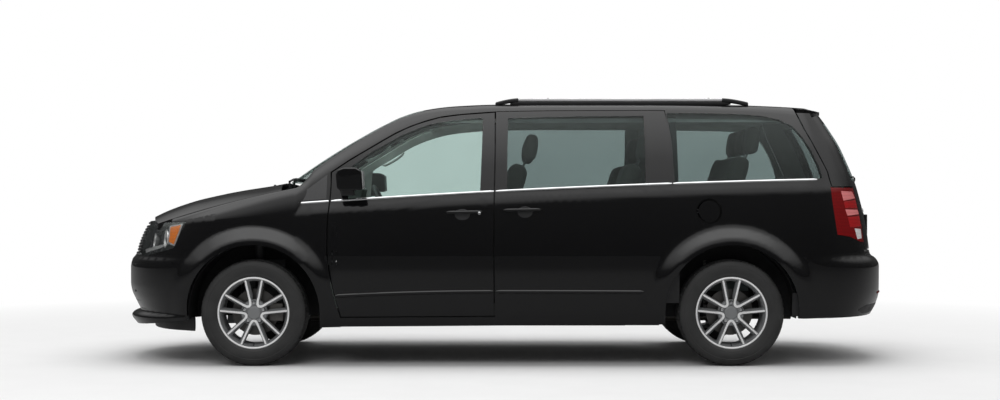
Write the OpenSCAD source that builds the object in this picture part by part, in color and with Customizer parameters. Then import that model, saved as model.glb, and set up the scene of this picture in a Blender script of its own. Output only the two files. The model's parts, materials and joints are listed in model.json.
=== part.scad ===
/* [Body] */
// Length of the body over its bumpers
body_len = 5150; // [4300:10:6180]
// Width of the body over its side mouldings
body_w = 1998; // [1670:2:2400]
// Height to the top of the roof rails
body_h = 1750; // [1460:5:2100]
// Thickness of a door or wall
wall_t = 62; // [52:1:74]
// Thickness of the window glass
glass_t = 5; // [4:0.5:7]
// Gap between a moving panel and the body
panel_gap = 9; // [8:0.5:11]

/* [Wheels] */
// Diameter of the tyre
tyre_d = 686; // [570:2:720]
// Width of the tyre
tyre_w = 225; // [190:1:235]
// Diameter of the alloy wheel over its lip
rim_d = 464; // [420:2:480]
// Distance between the two wheels of an axle, centre to centre
track = 1650; // [1600:5:1680]
// Circle of the five wheel studs
stud_circle = 127; // [106:1:140]

/* [Fittings] */
// Diameter of the steering wheel
steering_d = 380; // [320:5:420]
// Diameter of a hinge pin
pin_d = 8; // [7:0.5:10]
// Spacing of the number plate screws
plate_screws = 178; // [150:1:210]

/* [Hidden] */

// the drawing is in millimetres of the standard body, and these stretch it to the sizes above
sx = body_len / 5150;
sy = body_w / 1998;
sz = body_h / 1750;
seat_gap = 0.3;
fn = 64;

// wheels
tyre_r = tyre_d / 2;
rim_r = rim_d / 2;
front_x = 1614 * sx;
rear_x = -1464 * sx;
wheel_y = track / 2 * sy;
arch_r = tyre_r + 88;
arch_z = tyre_r + 8;
disc_r = 150;
kingpin_y = wheel_y - 60;

// belt line under the windows and the crease below it
belt_z = 1128;
belt_slope = 0.0514;
belt_bow = 7.39e-6;
crease_drop = 68;
function belt(x) = belt_z - belt_slope * (x - 27) - belt_bow * (x - 27) * (x - 27);
function crease(x) = belt(x) - crease_drop;

// plan of the ends: a straight flank, then a rounded corner
nose_start = 1850;
tail_start = -1900;
nose_round = 2.1;
tail_round = 2.3;
nose_pts = [[150, 2470], [200, 2500], [240, 2535], [290, 2570], [313, 2552], [330, 2505], [360, 2520],
    [400, 2540], [450, 2564], [510, 2575], [615, 2575], [670, 2563], [700, 2538], [780, 2514],
    [870, 2474], [950, 2420], [1000, 2380], [1100, 2290], [1200, 2190]];
tail_pts = [[240, -2490], [313, -2520], [383, -2556], [440, -2573], [470, -2575], [630, -2575],
    [680, -2549], [705, -2508], [770, -2500], [900, -2480], [1000, -2457], [1100, -2430],
    [1200, -2400], [1320, -2350], [1434, -2297], [1530, -2235], [1600, -2185], [1700, -2100]];
function nose(z) = lookup(z, nose_pts);
function tail(z) = lookup(z, tail_pts);
function nose_u(x, z) = min(0.999, max(0, (x - nose_start) / (nose(z) - nose_start)));
function tail_u(x, z) = min(0.999, max(0, (tail_start - x) / (tail_start - tail(z))));
function round_off(u, n) = pow(1 - pow(u, n), 1 / n);

// half width of the flank: full at 640 mm, tucked under at the sill, leaning in above the crease
function plan_half(x) = 992 - 6e-6 * x * x;
function lean(x, z) =
    let (zc = crease(x), zb = belt(x), h = z - zb)
    z < 640 ? 0.00038 * pow(640 - z, 2)
    : z < zc ? 0.0001 * pow(z - 640, 2)
    : z < zb ? 0.0001 * pow(zc - 640, 2) + 0.38 * (z - zc)
    : 0.0001 * pow(zc - 640, 2) + 0.38 * crease_drop + (0.26 + tail_narrow(x)) * h + 0.00022 * h * h;
function tail_narrow(x) = x < -1000 ? 0.00006 * (-1000 - x) : 0;
// the arches stand out from the flank in a band round each wheel
flare_h = 13;
function flare_at(x, z, cx) =
    let (r = norm([x * sx - cx, z * sz - arch_z]), u = min(1, max(0, (arch_r + 120 - r) / 90)))
    flare_h * u * u * (3 - 2 * u);
function flare(x, z) = flare_at(x, z, front_x) + flare_at(x, z, rear_x);
function flank(x, z) = (plan_half(x) - lean(x, z) + flare(x, z))
    * round_off(nose_u(x, z), nose_round) * round_off(tail_u(x, z), tail_round);

// hood edge, hood centre line, roof and windshield centre line, and the top of the doors
function hood_edge_y(x) = 905 - 0.000172 * pow(x - 1300, 2);
function hood_edge_z(x) = 1083 - 0.23 * (x - 1652) - 7.5e-5 * pow(x - 1652, 2);
hood_pts = [[1300, 1215], [1463, 1192], [1569, 1172], [1674, 1156], [1779, 1140], [1884, 1121],
    [1989, 1099], [2094, 1075], [2199, 1043], [2304, 1004], [2410, 952]];
function hood_z(x, y) = let (c = lookup(x, hood_pts))
    c - (c - hood_edge_z(x)) * pow(abs(y) / hood_edge_y(x), 2.2);
roof_pts = [[1500, 1160], [1463, 1184], [1253, 1328], [1043, 1459], [833, 1576], [728, 1628],
    [622, 1666], [517, 1690], [412, 1705], [307, 1714], [97, 1723], [-300, 1728], [-900, 1728],
    [-1500, 1721], [-1800, 1711], [-2000, 1699], [-2090, 1690], [-2200, 1668]];
function sweep_back(c) = 0.00013 * min(1, max(0, c / 500));
function roof_x(c, y) = c - sweep_back(c) * y * y;
function crown(c) = 35 - 25 * min(1, max(0, (c - 300) / 600));
function roof_z(c, y) = lookup(c, roof_pts) - crown(c) * pow(abs(y) / 700, 2.4);
door_top_pts = [[1272, 1134], [1121, 1251], [998, 1335], [868, 1413], [804, 1452], [678, 1526],
    [549, 1579], [419, 1615], [289, 1633], [53, 1650], [-300, 1656], [-1031, 1658],
    [-1500, 1652], [-1800, 1636], [-2000, 1612], [-2130, 1585]];
function door_top(x) = lookup(x, door_top_pts);
rail_run = 95;
seam_top = 4;
function roof_edge_y(x) = flank(x, door_top(x)) - rail_run;
// the centre line station whose swept back section passes through x at the roof edge
function centre_of(x) = let (y = roof_edge_y(x), a = x + sweep_back(x) * y * y)
    x + sweep_back(a) * y * y;

// section of one side at x: s from 0 to 1 up the flank, and on to 2 round the shoulder
sill_z = 160;
fender_from = 1340;
fender_mix = 1240;
function mix(a, b, t) = a * (1 - t) + b * t;
function fender_t(x) = min(1, max(0, (x - fender_mix) / (fender_from - fender_mix)));
function turn_z(x) = mix(door_top(x), crease(x), fender_t(x));
function shoulder_end(x) =
    let (t = fender_t(x), y = roof_edge_y(x), roof = t < 1 ? [y, roof_z(centre_of(x), y)] : [0, 0],
        hood = [hood_edge_y(x), hood_edge_z(x)])
    t == 0 ? roof : t == 1 ? hood : mix(roof, hood, t);
function shoulder_knee(x) =
    let (e = shoulder_end(x), z = turn_z(x), t = fender_t(x), low = e[1] - 10)
    [mix(flank(x, min(low, z + 90)), flank(x, z) - 12, t), low];
function section(x, s) = s <= 1
    ? let (z = mix(sill_z, turn_z(x), s)) [flank(x, z), z]
    : let (q = s - 1, a = [flank(x, turn_z(x)), turn_z(x)], b = shoulder_knee(x), c = shoulder_end(x))
        a * (1 - q) * (1 - q) + b * 2 * q * (1 - q) + c * q * q;
// the same point taken d inwards, square to the section
function section_in(x, s, d) =
    let (p = section(x, s), a = section(x, max(0, s - 0.01)), b = section(x, min(2, s + 0.01)),
        t = (b - a) / norm(b - a), n = s > 1.99 ? [0, -1] : [-t[1], t[0]])
    [x * sx, (p[0] + n[0] * d) * sy, (p[1] + n[1] * d) * sz];

function steps(a, b, n) = [for (i = [0:n]) a + (b - a) * i / n];
function side_steps(n, m) = concat(steps(0, 1, n), [for (i = [1:m]) 1 + i / m]);

// a closed sheet between two grids of points; outer is seen from outside with rows along x
module sheet(outer, inner) {
    rows = len(outer);
    cols = len(outer[0]);
    total = rows * cols;
    function at(i, j) = i * cols + j;
    function quad(a, b, c, d) = [[a, b, c], [a, c, d]];
    skin = [for (i = [0:rows - 2], j = [0:cols - 2])
        [at(i, j), at(i, j + 1), at(i + 1, j + 1), at(i + 1, j)]];
    rim = concat(
        [for (j = [0:cols - 2]) [at(0, j), at(0, j + 1)]],
        [for (i = [0:rows - 2]) [at(i, cols - 1), at(i + 1, cols - 1)]],
        [for (j = [0:cols - 2]) [at(rows - 1, j + 1), at(rows - 1, j)]],
        [for (i = [0:rows - 2]) [at(i + 1, 0), at(i, 0)]]);
    polyhedron(
        concat([for (row = outer, p = row) p], [for (row = inner, p = row) p]),
        concat(
            [for (q = skin, f = quad(q[0], q[1], q[2], q[3])) f],
            [for (q = skin, f = quad(q[3] + total, q[2] + total, q[1] + total, q[0] + total)) f],
            [for (e = rim, f = quad(e[0] + total, e[1] + total, e[1], e[0])) f]),
        convexity = 6);
}

// left flank between stations, from depth d0 to depth d1 under the outer surface
module side_sheet(stations, marks, d0, d1) {
    sheet([for (x = stations) [for (s = marks) section_in(x, s, d0)]],
        [for (x = stations) [for (s = marks) section_in(x, s, d1)]]);
}

// corner of the nose (dir 1) or tail (dir -1) at angle t from the centre line; past 90 degrees it
// runs on along the straight flank, 10 mm a degree
function wrap_in(z, t, dir, d) =
    let (n = dir > 0 ? nose_round : tail_round, start = dir > 0 ? nose_start : tail_start,
        reach = (dir > 0 ? nose(z) : tail(z)) - start,
        flat = max(0, abs(t) - 90), c = flat > 0 ? 0 : pow(abs(cos(t)), 2 / n),
        s = flat > 0 ? 1 : pow(abs(sin(t)), 2 / n), x = start + reach * c - dir * 10 * flat,
        half = plan_half(x) - lean(x, z) + flare(x, z), side = sign(t),
        nx = pow(max(c, 0.0001), n - 1) / abs(reach), ny = pow(max(s, 0.0001), n - 1) / half,
        k = norm([nx, ny]))
    [(x - dir * d * nx / k) * sx, side * (half * s - d * ny / k) * sy, z * sz];
module wrap_sheet(angles, heights, dir, d0, d1) {
    a = dir > 0 ? angles : [for (i = [len(angles) - 1:-1:0]) angles[i]];
    sheet([for (t = a) [for (z = heights) wrap_in(z, t, dir, d0)]],
        [for (t = a) [for (z = heights) wrap_in(z, t, dir, d1)]]);
}

// prisms through the body from an outline drawn in side view or in plan
function stretch_xz(pts) = [for (p = pts) [p[0] * sx, p[1] * sz]];
module through_side(y0 = 0, y1 = 1300) {
    translate([0, y1 * sy, 0]) rotate([90, 0, 0]) linear_extrude((y1 - y0) * sy) children();
}
module side_shape(pts) polygon(stretch_xz(pts));
module arch_shape(cx, grow = 0) {
    hull() {
        translate([cx, arch_z]) circle(arch_r + grow, $fn = 48);
        translate([cx, -100]) square([2 * (arch_r + grow) - 20, 1], center = true);
    }
}
module block(a, b) {
    translate([a[0] * sx, a[1] * sy, a[2] * sz])
        cube([(b[0] - a[0]) * sx, (b[1] - a[1]) * sy, (b[2] - a[2]) * sz]);
}
module both_sides() {
    children();
    mirror([0, 1, 0]) children();
}
// joins freeform cuts into one closed mesh
module as_mesh() resize([0, 0, 0]) children();

// places shared by several pieces
roof_end = -1858;
glass_foot = 1452;
gate_half = 640;
gate_axis = [-1871, 1697];
gate_hinge_y = 230;
gate_pin = 8;
fuel_mid = [-1315, 999];
fuel_r = 68;
fuel_axis = [fuel_mid[0] + fuel_r + 5, 967];
mirror_mid = [1010, 1195];

// outlines in side view
door_front_line = [[1054, 312], [1078, 395], [1104, 492], [1118, 576], [1131, 660], [1139, 730],
    [1140, 826], [1136, 950], [1130, 1006], [1122, 1100], [1119, 1180], [1121, 1251]];
door_split = [[59, 319], [59, 430], [62, 750], [59, 1134], [53, 1390], [53, 1650]];
slider_rear_line = [[-886, 336], [-892, 396], [-904, 492], [-923, 576], [-955, 653], [-1000, 723],
    [-1052, 781], [-1086, 832], [-1097, 909], [-1094, 1006], [-1086, 1102], [-1079, 1173],
    [-1081, 1212], [-1083, 1330], [-1077, 1462], [-1066, 1561], [-1049, 1658]];
function top_line(x0, x1, n) = [for (x = steps(x0, x1, n)) [x, door_top(x)]];
function reversed(a) = [for (i = [len(a) - 1:-1:0]) a[i]];
front_door_outline = concat(door_front_line, top_line(1090, 53, 14), reversed(door_split));
slider_outline = concat(reversed(door_split), [for (p = slider_rear_line) if (p[1] < 1600) p],
    [for (p = top_line(-1045, 53, 6)) p - [0, seam_top]]);
door_opening = concat([[59, 319]], door_front_line, top_line(1090, -1031, 22),
    reversed(slider_rear_line));
window_front = [[1004, 1066], [985, 1285], [870, 1374], [805, 1410], [676, 1485], [546, 1541],
    [481, 1562], [351, 1584], [222, 1598], [138, 1604], [144, 1394], [155, 1112]];
window_slider = [[-18, 1121], [-22, 1400], [-26, 1602], [-300, 1610], [-627, 1616], [-908, 1618],
    [-912, 1395], [-909, 1160]];
window_quarter = [[-1096, 1184], [-1092, 1330], [-1085, 1462], [-1060, 1636], [-1300, 1636],
    [-1560, 1630], [-1700, 1616], [-1800, 1592], [-1880, 1548], [-1945, 1470], [-1990, 1390],
    [-2030, 1300], [-2055, 1210], [-1580, 1200]];
gate_line = [[-1876, 1760], [-1905, 1640], [-1954, 1526], [-2024, 1390], [-2090, 1252],
    [-2112, 1160]];
lamp_front = [[-2107, 1150], [-2118, 1060], [-2130, 973], [-2150, 846]];
lamp_tail = concat(lamp_front, [[-2250, 832], [-2340, 795], [-2620, 780], [-2620, 1150]]);
bumper_rear_top = [[-1780, 600], [-1960, 700], [-2050, 728], [-2700, 735]];

// ---- body ----
side_x = [2160, 2080, 2000, 1930, 1850, 1770, 1690, 1600, 1520, 1430, 1340, 1290, 1240, 1180, 1121,
    1060, 998, 933, 868, 804, 740, 678, 613, 549, 484, 419, 289, 171, 15, -120, -300, -540, -780,
    -1031, -1150, -1250, -1350, -1464, -1560, -1660, -1760, -1860, -1950, -2030, -2110, -2170];
function span_x(a, b) = [for (x = side_x) if (x <= a && x >= b) x];
module side_bare(a, b, d0, d1, low = 11, high = 4) {
    side_sheet(span_x(a, b), side_steps(low, high), d0, d1);
}
paint = "#0b0b0d";
black = "#17181a";
glass_dark = [0.2, 0.24, 0.22, 0.8];

fender_outline = concat([[1054, 252]], [for (p = door_front_line) if (p[1] < 1050) p],
    [[1126, 1056], [1322, 1049], [1310, 1102], [1274, 1134], [1322, 1174], [1345, 1400],
    [2160, 1400], [2160, 929], [2046, 928], [2090, 850], [2133, 764], [2140, 655], [1900, 655],
    [1900, 246]]);
body_cuts = concat(gate_line, [[-2107, 1150]], lamp_front, [[-2150, 728], [-2400, 728], [-2400, 1760]]);
module inset(d) offset(delta = -d) children();

module body_side() {
    as_mesh() difference() {
        side_bare(1340, -2170, 0, wall_t);
        through_side() {
            side_shape(door_opening);
            side_shape([[1400, 100], [1400, 252], [-1100, 272], [-1100, 100]]);
            offset(delta = seat_gap) side_shape(concat([[1000, 100], [1054, 100]], fender_outline,
                [[1900, 100]]));
            side_shape(window_quarter);
            side_shape(body_cuts);
            side_shape(concat([[-1700, 100], [-1700, 560]], bumper_rear_top, [[-2700, 100]]));
            arch_shape(rear_x);
        }
        fuel_pocket();
    }
    as_mesh() intersection() {
        side_bare(1240, 933, 27.5, wall_t);
        through_side() side_shape(concat([[1000, 262], [1000, 303], [1054, 303]],
            [for (p = door_front_line) if (p[1] < 1120) p + [2, 0]], [[1172, 1120], [1172, 262]]));
    }
    block([-1000, 840, 262], [1170, 874, 372]);
    block([-1000, 840, 262], [1050, 902, 303]);
    block([20, 840, 300], [110, 880, 420]);
}
// painted corner under the tail lamp
module corner_panel() {
    intersection() {
        wrap_sheet(steps(40, 86, 10), steps(728, 860, 3), -1, 0, wall_t);
        through_side(650, 1300) side_shape([[-2140, 844], [-2150, 844], [-2250, 831], [-2340, 794],
            [-2600, 779], [-2600, 734], [-2140, 729]]);
    }
}
module body_side_all() {
    body_side();
    as_mesh() corner_panel();
}
module body_side_left() { color(paint) body_side_all(); }
module body_side_right() { color(paint) mirror([0, 1, 0]) body_side_all(); }

// front wing, from the bumper seam to the door, with the hood edge as its top
module fender() {
    as_mesh() difference() {
        intersection() {
            side_bare(2160, 998, 0, 24, 11, 5);
            through_side() side_shape(fender_outline);
        }
        through_side() arch_shape(front_x);
    }
}
module fenders() { color(paint) both_sides() fender(); }

// roof skin and windshield share one swept grid; c is the station on the centre line
function top_point(c, v, inset, d) =
    let (e = roof_edge_y(roof_x(c, roof_edge_y(c))) - inset, y = v * e)
    [roof_x(c, y) * sx, y * sy, (roof_z(c, y) - d) * sz];
module top_sheet(stations, across, inset, d0, d1) {
    sheet([for (c = stations) [for (v = across) top_point(c, v, inset, d0)]],
        [for (c = stations) [for (v = across) top_point(c, v, inset, d1)]]);
}
across_roof = steps(-1, 1, 14);
header = 560;
module roof() {
    color(paint) top_sheet([-1858, -1700, -1500, -1200, -900, -600, -300, -100, 97, 200, 307, 412,
        480, 517, header], across_roof, 0.8, 0, 30);
}
module windshield() {
    color(glass_clear) top_sheet([header + 3, 622, 728, 833, 940, 1043, 1150, 1253, 1360, glass_foot],
        across_roof, 0.8, 1, 1 + glass_t);
}
glass_clear = [0.7, 0.8, 0.76, 0.5];

// scuttle under the windshield, with the bulkhead below it
cowl_half = 840;
function cowl_z(c, y) = c < glass_foot + 1 ? roof_z(glass_foot, y) - glass_t - 1.3
    : 1134 - 50 * pow(abs(y) / 880, 2.2);
module cowl() {
    color(black) {
        sheet([for (c = [1370, glass_foot + 1, glass_foot + 4, 1550])
                [for (y = steps(-cowl_half, cowl_half, 14)) cowl_point(c, y, 0)]],
            [for (c = [1370, glass_foot + 1, glass_foot + 4, 1550])
                [for (y = steps(-cowl_half, cowl_half, 14)) cowl_point(c, y, 45)]]);
        bulkhead();
        for (side = [-1, 1]) hood_lugs(side);
    }
}
function cowl_point(c, y, d) = [(c - 0.00013 * y * y) * sx, y * sy, (cowl_z(c, y) - d) * sz];
module bulkhead() {
    block([1290, -493, 335], [1310, 493, 1040]);
    block([1290, -780, 800], [1310, 780, 1040]);
    block([1290, -620, 1000], [1380, 620, 1040]);
    block([1340, -620, 1000], [1380, 620, 1144]);
}
hood_axis = [1430, 1165];
hinge_y = 480;
module hood_lugs(side) {
    for (off = [-18, 18]) translate([0, (side * hinge_y + off) * sy + 5, 0]) rotate([90, 0, 0])
        linear_extrude(10) difference() {
            polygon(stretch_xz([[1419, 1100], [1419, 1172], [1441, 1172], [1447, 1100]]));
        }
    translate([hood_axis[0] * sx, side * hinge_y * sy + 23, hood_axis[1] * sz]) rotate([90, 0, 0])
        cylinder(d = pin_d, h = 46, $fn = fn);
}

hood_front = 2400;
hood_rear = 1500;
function hood_point(u, v, d, grow) =
    let (x0 = mix(hood_rear, hood_front, u), w = hood_edge_y(x0) - panel_gap + grow, y0 = v * w,
        x = mix(hood_rear - 0.00008 * y0 * y0 - grow, hood_front - 0.00028 * y0 * y0 + grow, u),
        y = v * (hood_edge_y(x) - panel_gap + grow))
    [x * sx, y * sy, (hood_z(x, min(abs(y), hood_edge_y(x))) - d) * sz];
hood_t = 34;
module hood_shape(grow, top, bottom) {
    sheet([for (u = steps(0, 1, 16)) [for (v = steps(-1, 1, 14)) hood_point(u, v, top, grow)]],
        [for (u = steps(0, 1, 16)) [for (v = steps(-1, 1, 14)) hood_point(u, v, bottom, grow)]]);
}
module hood() {
    color(paint) {
        hood_shape(0, 0, hood_t);
        for (side = [-1, 1]) hood_arm(side);
    }
}
module hood_arm(side) {
    translate([0, side * hinge_y * sy + 9, 0]) rotate([90, 0, 0]) linear_extrude(18) difference() {
        union() {
            translate([hood_axis[0] * sx, hood_axis[1] * sz]) circle(pin_d / 2 + 5, $fn = fn);
            polygon([[hood_axis[0] * sx, hood_axis[1] * sz - 7],
                [hood_axis[0] * sx, hood_axis[1] * sz + 7], [1520 * sx, 1152 * sz],
                [1560 * sx, 1134 * sz], [1560 * sx, 1112 * sz], [1500 * sx, 1132 * sz]]);
        }
        translate([hood_axis[0] * sx, hood_axis[1] * sz]) circle(pin_d / 2 + seat_gap, $fn = fn);
    }
}

// ---- nose and tail ----
bumper_t = 45;
module front_bumper() {
    color(paint) as_mesh() difference() {
        intersection() {
            union() {
                wrap_sheet(steps(-88, 88, 26), [213, 240, 290, 313, 330, 360, 400, 450, 510, 615, 670,
                    700, 745], 1, 0, bumper_t);
                wrap_sheet(steps(-62, 62, 16), [163, 240], 1, 35, 60);
            }
            mirrored_side() side_shape([[1890, 150], [1890, 654.7], [2140, 654.7], [2192, 743.7],
                [2354, 703], [2700, 700.7], [2700, 150]]);
        }
        mirrored_side() arch_shape(front_x);
        mirrored_side() side_shape([[1800, 100], [2700, 100], [2700, 162], [2440, 162], [1800, 232]]);
    }
}
module mirrored_side() through_side(-1300, 1300) children();
lamp_split = 520;
module grille() {
    color(black) as_mesh() difference() {
        intersection() {
            wrap_sheet(steps(-40, 40, 14), [703, 740, 780, 830, 870, 925], 1, 0, 40);
            block([2000, -lamp_split + seat_gap, 600], [2700, lamp_split - seat_gap, 1100]);
        }
        hood_shape(panel_gap, -60, hood_t + panel_gap);
    }
}
lamp_outline = [[2046.4, 927.6], [2120, 926], [2240, 924], [2330, 950], [2700, 950], [2700, 701],
    [2354, 704], [2192, 744.2], [2133.4, 764.4], [2090.4, 850.2]];
module headlamps() {
    color("#d8dcdf") both_sides() as_mesh() difference() {
        intersection() {
            wrap_sheet(steps(25, 76, 12), [690, 740, 780, 830, 870, 930], 1, 0, 60);
            through_side(lamp_split, 1300) inset(seat_gap) side_shape(lamp_outline);
        }
        hood_shape(panel_gap, -60, hood_t + panel_gap);
    }
}
module tail_lamps() {
    color("#8c0c10") both_sides() as_mesh() intersection() {
        wrap_sheet(steps(38, 86, 10), [770, 800, 850, 900, 1000, 1100, 1160], -1, 0, 50);
        through_side(gate_half + panel_gap, 1300) inset(seat_gap) side_shape(lamp_tail);
    }
}
module rear_bumper() {
    color(paint) as_mesh() difference() {
        intersection() {
            wrap_sheet(concat([-110, -100], steps(-90, 90, 26), [100, 110]), [308, 340, 383, 440,
                530, 630, 680, 705, 735], -1, 0, bumper_t);
            mirrored_side() inset(seat_gap) side_shape(concat([[-1760, 300], [-1760, 600]],
                bumper_rear_top, [[-2700, 300]]));
        }
        mirrored_side() arch_shape(rear_x);
    }
}
module through_back(x0 = -2700, x1 = -1800) {
    translate([x0 * sx, 0, 0]) rotate([90, 0, 90]) linear_extrude((x1 - x0) * sx) children();
}
module back_shape(pts) polygon([for (p = pts) [p[0] * sy, p[1] * sz]]);
rear_window = [[-615, 1195], [615, 1195], [575, 1585], [-575, 1585]];
gate_low = 744;
gate_top = 1640;
module liftgate() {
    color(paint) {
        as_mesh() difference() {
            intersection() {
                wrap_sheet(steps(-88, 88, 26), [gate_low, 770, 900, 1000, 1100, 1151, 1200, 1320,
                    1434, 1530, 1600, gate_top], -1, 0, 50);
                union() {
                    mirrored_side() inset(panel_gap) side_shape(concat([[-1890, 1720]], gate_line,
                        [[-2112, 1151], [-2700, 1151], [-2700, 1720]]));
                    block([-2700, -gate_half, 700], [-2000, gate_half, 1300]);
                }
            }
            through_back() back_shape(rear_window);
        }
        gate_lugs();
        plate_holder();
    }
}

// pad that carries the number plate, with the two screw holes
plate_face = -2507;
module plate_holder() {
    difference() {
        translate([0, 165, 0]) rotate([90, 0, 0]) linear_extrude(330) polygon(stretch_xz([[plate_face, 830],
            [plate_face, 970], [tail(970) - 6, 970], [tail(900) - 0.6, 900], [tail(830) - 0.6, 830]]));
        for (side = [-1, 1]) translate([plate_face * sx - 1, side * plate_screws / 2, 900 * sz])
            rotate([0, 90, 0]) cylinder(d = 6, h = 40, $fn = fn);
    }
}
spoiler_tip = -2165;
function spoiler_point(u, v, under) =
    let (w0 = flank(max(mix(-1884, spoiler_tip, u), -2010), 1650) - 8, y0 = v * w0,
        front = -1884 - 30 * min(1, max(0, (abs(v) - 0.71) / 0.14)),
        x = mix(front, spoiler_tip + 0.00022 * y0 * y0, u),
        top = roof_z(x, y0) - 14 * u * u)
    [x * sx, y0 * sy, (under ? spoiler_under(u, top) : top) * sz];
function spoiler_under(u, top) = max(gate_top + 0.5, mix(gate_top, top - 18, max(0, u - 0.75) * 4));
module rear_spoiler() {
    color(paint) sheet([for (u = steps(1, 0, 6)) [for (v = steps(-1, 1, 14)) spoiler_point(u, v, false)]],
        [for (u = steps(1, 0, 6)) [for (v = steps(-1, 1, 14)) spoiler_point(u, v, true)]]);
}
module rear_glass() {
    color(glass_dark) as_mesh() intersection() {
        wrap_sheet(steps(-61, 61, 18), [1180, 1200, 1320, 1434, 1530, 1600], -1, 5,
            5 + glass_t);
        through_back() inset(seat_gap) back_shape(rear_window);
    }
}

// ---- doors ----
module door(outline, window, gap) {
    as_mesh() difference() {
        side_bare(1180, -1150, 0, wall_t, 11, 3);
        through_side() {
            difference() {
                translate([-3000, -100]) square([6000, 3000]);
                inset(gap) side_shape(outline);
            }
            side_shape(window);
        }
        if (gap > 1) hinge_notch();
    }
}
module pane(window) {
    as_mesh() intersection() {
        side_bare(1121, -2110, 6, 6 + glass_t, 14, 3);
        through_side() inset(seat_gap) side_shape(window);
    }
}
module front_door() {
    door(front_door_outline, window_front, panel_gap);
    for (z = hinge_z) door_lug(z);
}
module front_door_left() { color(paint) front_door(); }
module front_door_right() { color(paint) mirror([0, 1, 0]) front_door(); }
module front_door_glass_left() { color(glass_clear) pane(window_front); }
module front_door_glass_right() { color(glass_clear) mirror([0, 1, 0]) pane(window_front); }
module sliding_door_left() { color(paint) door(slider_outline, window_slider, seat_gap); }
module sliding_door_right() {
    color(paint) mirror([0, 1, 0]) door(slider_outline, window_slider, seat_gap);
}
module sliding_door_glass() { color(glass_dark) both_sides() pane(window_slider); }
module quarter_glass() { color(glass_dark) both_sides() pane(window_quarter); }

// front door hinges: a pin held by the hinge pillar, and a lug on the door round it
door_axis = [1100, 978];
hinge_z = [700, 880];
module hinge_notch() {
    for (z = hinge_z) block([door_axis[0] - 26, 880, z - 45], [1200, 1200, z + 45]);
}
module door_lug(z) {
    translate([0, 0, z * sz - 18]) linear_extrude(36) difference() {
        union() {
            translate([door_axis[0] * sx, door_axis[1] * sy]) circle(pin_d / 2 + 3, $fn = fn);
            translate([(door_axis[0] - 26) * sx + seat_gap, door_axis[1] * sy - 7])
                square([24 * sx, 10]);
        }
        translate([door_axis[0] * sx, door_axis[1] * sy]) circle(pin_d / 2 + seat_gap, $fn = fn);
    }
}
module door_bracket(z) {
    ax = door_axis[0] * sx;
    ay = door_axis[1] * sy;
    back = flank(1150, z + 35) * sy - wall_t - 0.6;
    for (end = [20, -30]) translate([0, 0, z * sz + end]) linear_extrude(10) polygon([[ax - 6, ay + 5],
        [ax + 6, ay + 5], [ax + 8, back], [1160 * sx, back], [1160 * sx, back - 20], [ax - 6, back - 20]]);
    translate([ax, ay, z * sz - 30]) cylinder(d = pin_d, h = 60, $fn = fn);
}
module gate_lugs() {
    both_sides() difference() {
        translate([-1883.7 * sx, (gate_hinge_y - 11) * sy, (gate_axis[1] - 7) * sz])
            cube([(gate_axis[0] + 1883.7) * sx + 7, 22, 14]);
        along_y(gate_axis, gate_hinge_y - 20, 50, gate_pin / 2 + seat_gap);
    }
}
module along_y(xz, y, h, r) {
    translate([xz[0] * sx, y * sy + h, xz[1] * sz]) rotate([90, 0, 0]) cylinder(r = r, h = h, $fn = fn);
}
module gate_bracket() {
    block([roof_end - 2, gate_hinge_y - 24, 1650], [roof_end + 40, gate_hinge_y + 24, 1674]);
    for (off = [-24, 14]) block([roof_end - 20, gate_hinge_y + off, 1650],
        [roof_end - 1.5, gate_hinge_y + off + 10, gate_axis[1] + 6]);
    along_y(gate_axis, gate_hinge_y - 24, 48, gate_pin / 2);
}
module fuel_bracket() {
    for (z = [-12, 8]) block([fuel_axis[0] - 3, 930.3, fuel_mid[1] + z],
        [fuel_axis[0] + 3, fuel_axis[1] + 2.5, fuel_mid[1] + z + 4]);
    translate([fuel_axis[0] * sx, fuel_axis[1] * sy, (fuel_mid[1] - 12) * sz])
        cylinder(r = 1.5, h = 24 * sz, $fn = fn);
}
module door_hinges() {
    color("#3a3c40") {
        both_sides() {
            for (z = hinge_z) door_bracket(z);
            gate_bracket();
        }
        fuel_bracket();
    }
}

module door_mirror() {
    as_mesh() difference() {
        union() {
            mirror_head();
            block([955, 880, 1095], [1045, 965, 1150]);
        }
        side_bare(1180, 740, -0.4, 120, 11, 3);
    }
}
module mirror_head() {
    translate([mirror_mid[0] * sx, 0, mirror_mid[1] * sz]) {
        hull() {
            for (z = [-34, 42]) translate([28, 958, z]) sphere(r = 30, $fn = 14);
            for (z = [-34, 42]) translate([24, 1078, z]) sphere(r = 30, $fn = 14);
            for (y = [955, 1080]) translate([-92, y, 56]) sphere(r = 26, $fn = 14);
            for (y = [955, 1080]) translate([-84, y, -38]) sphere(r = 24, $fn = 14);
        }
    }
}
module mirror_left() { color(paint) door_mirror(); }
module mirror_right() { color(paint) mirror([0, 1, 0]) door_mirror(); }

// fuel door on the left rear quarter
module fuel_pocket() {
    through_side(930, 1300) translate([fuel_mid[0] * sx, fuel_mid[1] * sz]) circle(fuel_r + 14, $fn = 48);
}
module fuel_door() {
    color(paint) {
        as_mesh() intersection() {
            side_bare(-1031, -1560, 0, 10, 18, 2);
            through_side() translate([fuel_mid[0] * sx, fuel_mid[1] * sz]) circle(fuel_r, $fn = 48);
        }
        translate([0, 0, fuel_mid[1] * sz - 7]) linear_extrude(14) difference() {
            translate([(fuel_axis[0] - 4.7) * sx, fuel_axis[1] * sy - 4]) square([7.7, 7]);
            translate([fuel_axis[0] * sx, fuel_axis[1] * sy]) circle(1.8, $fn = fn);
        }
    }
}

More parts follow.
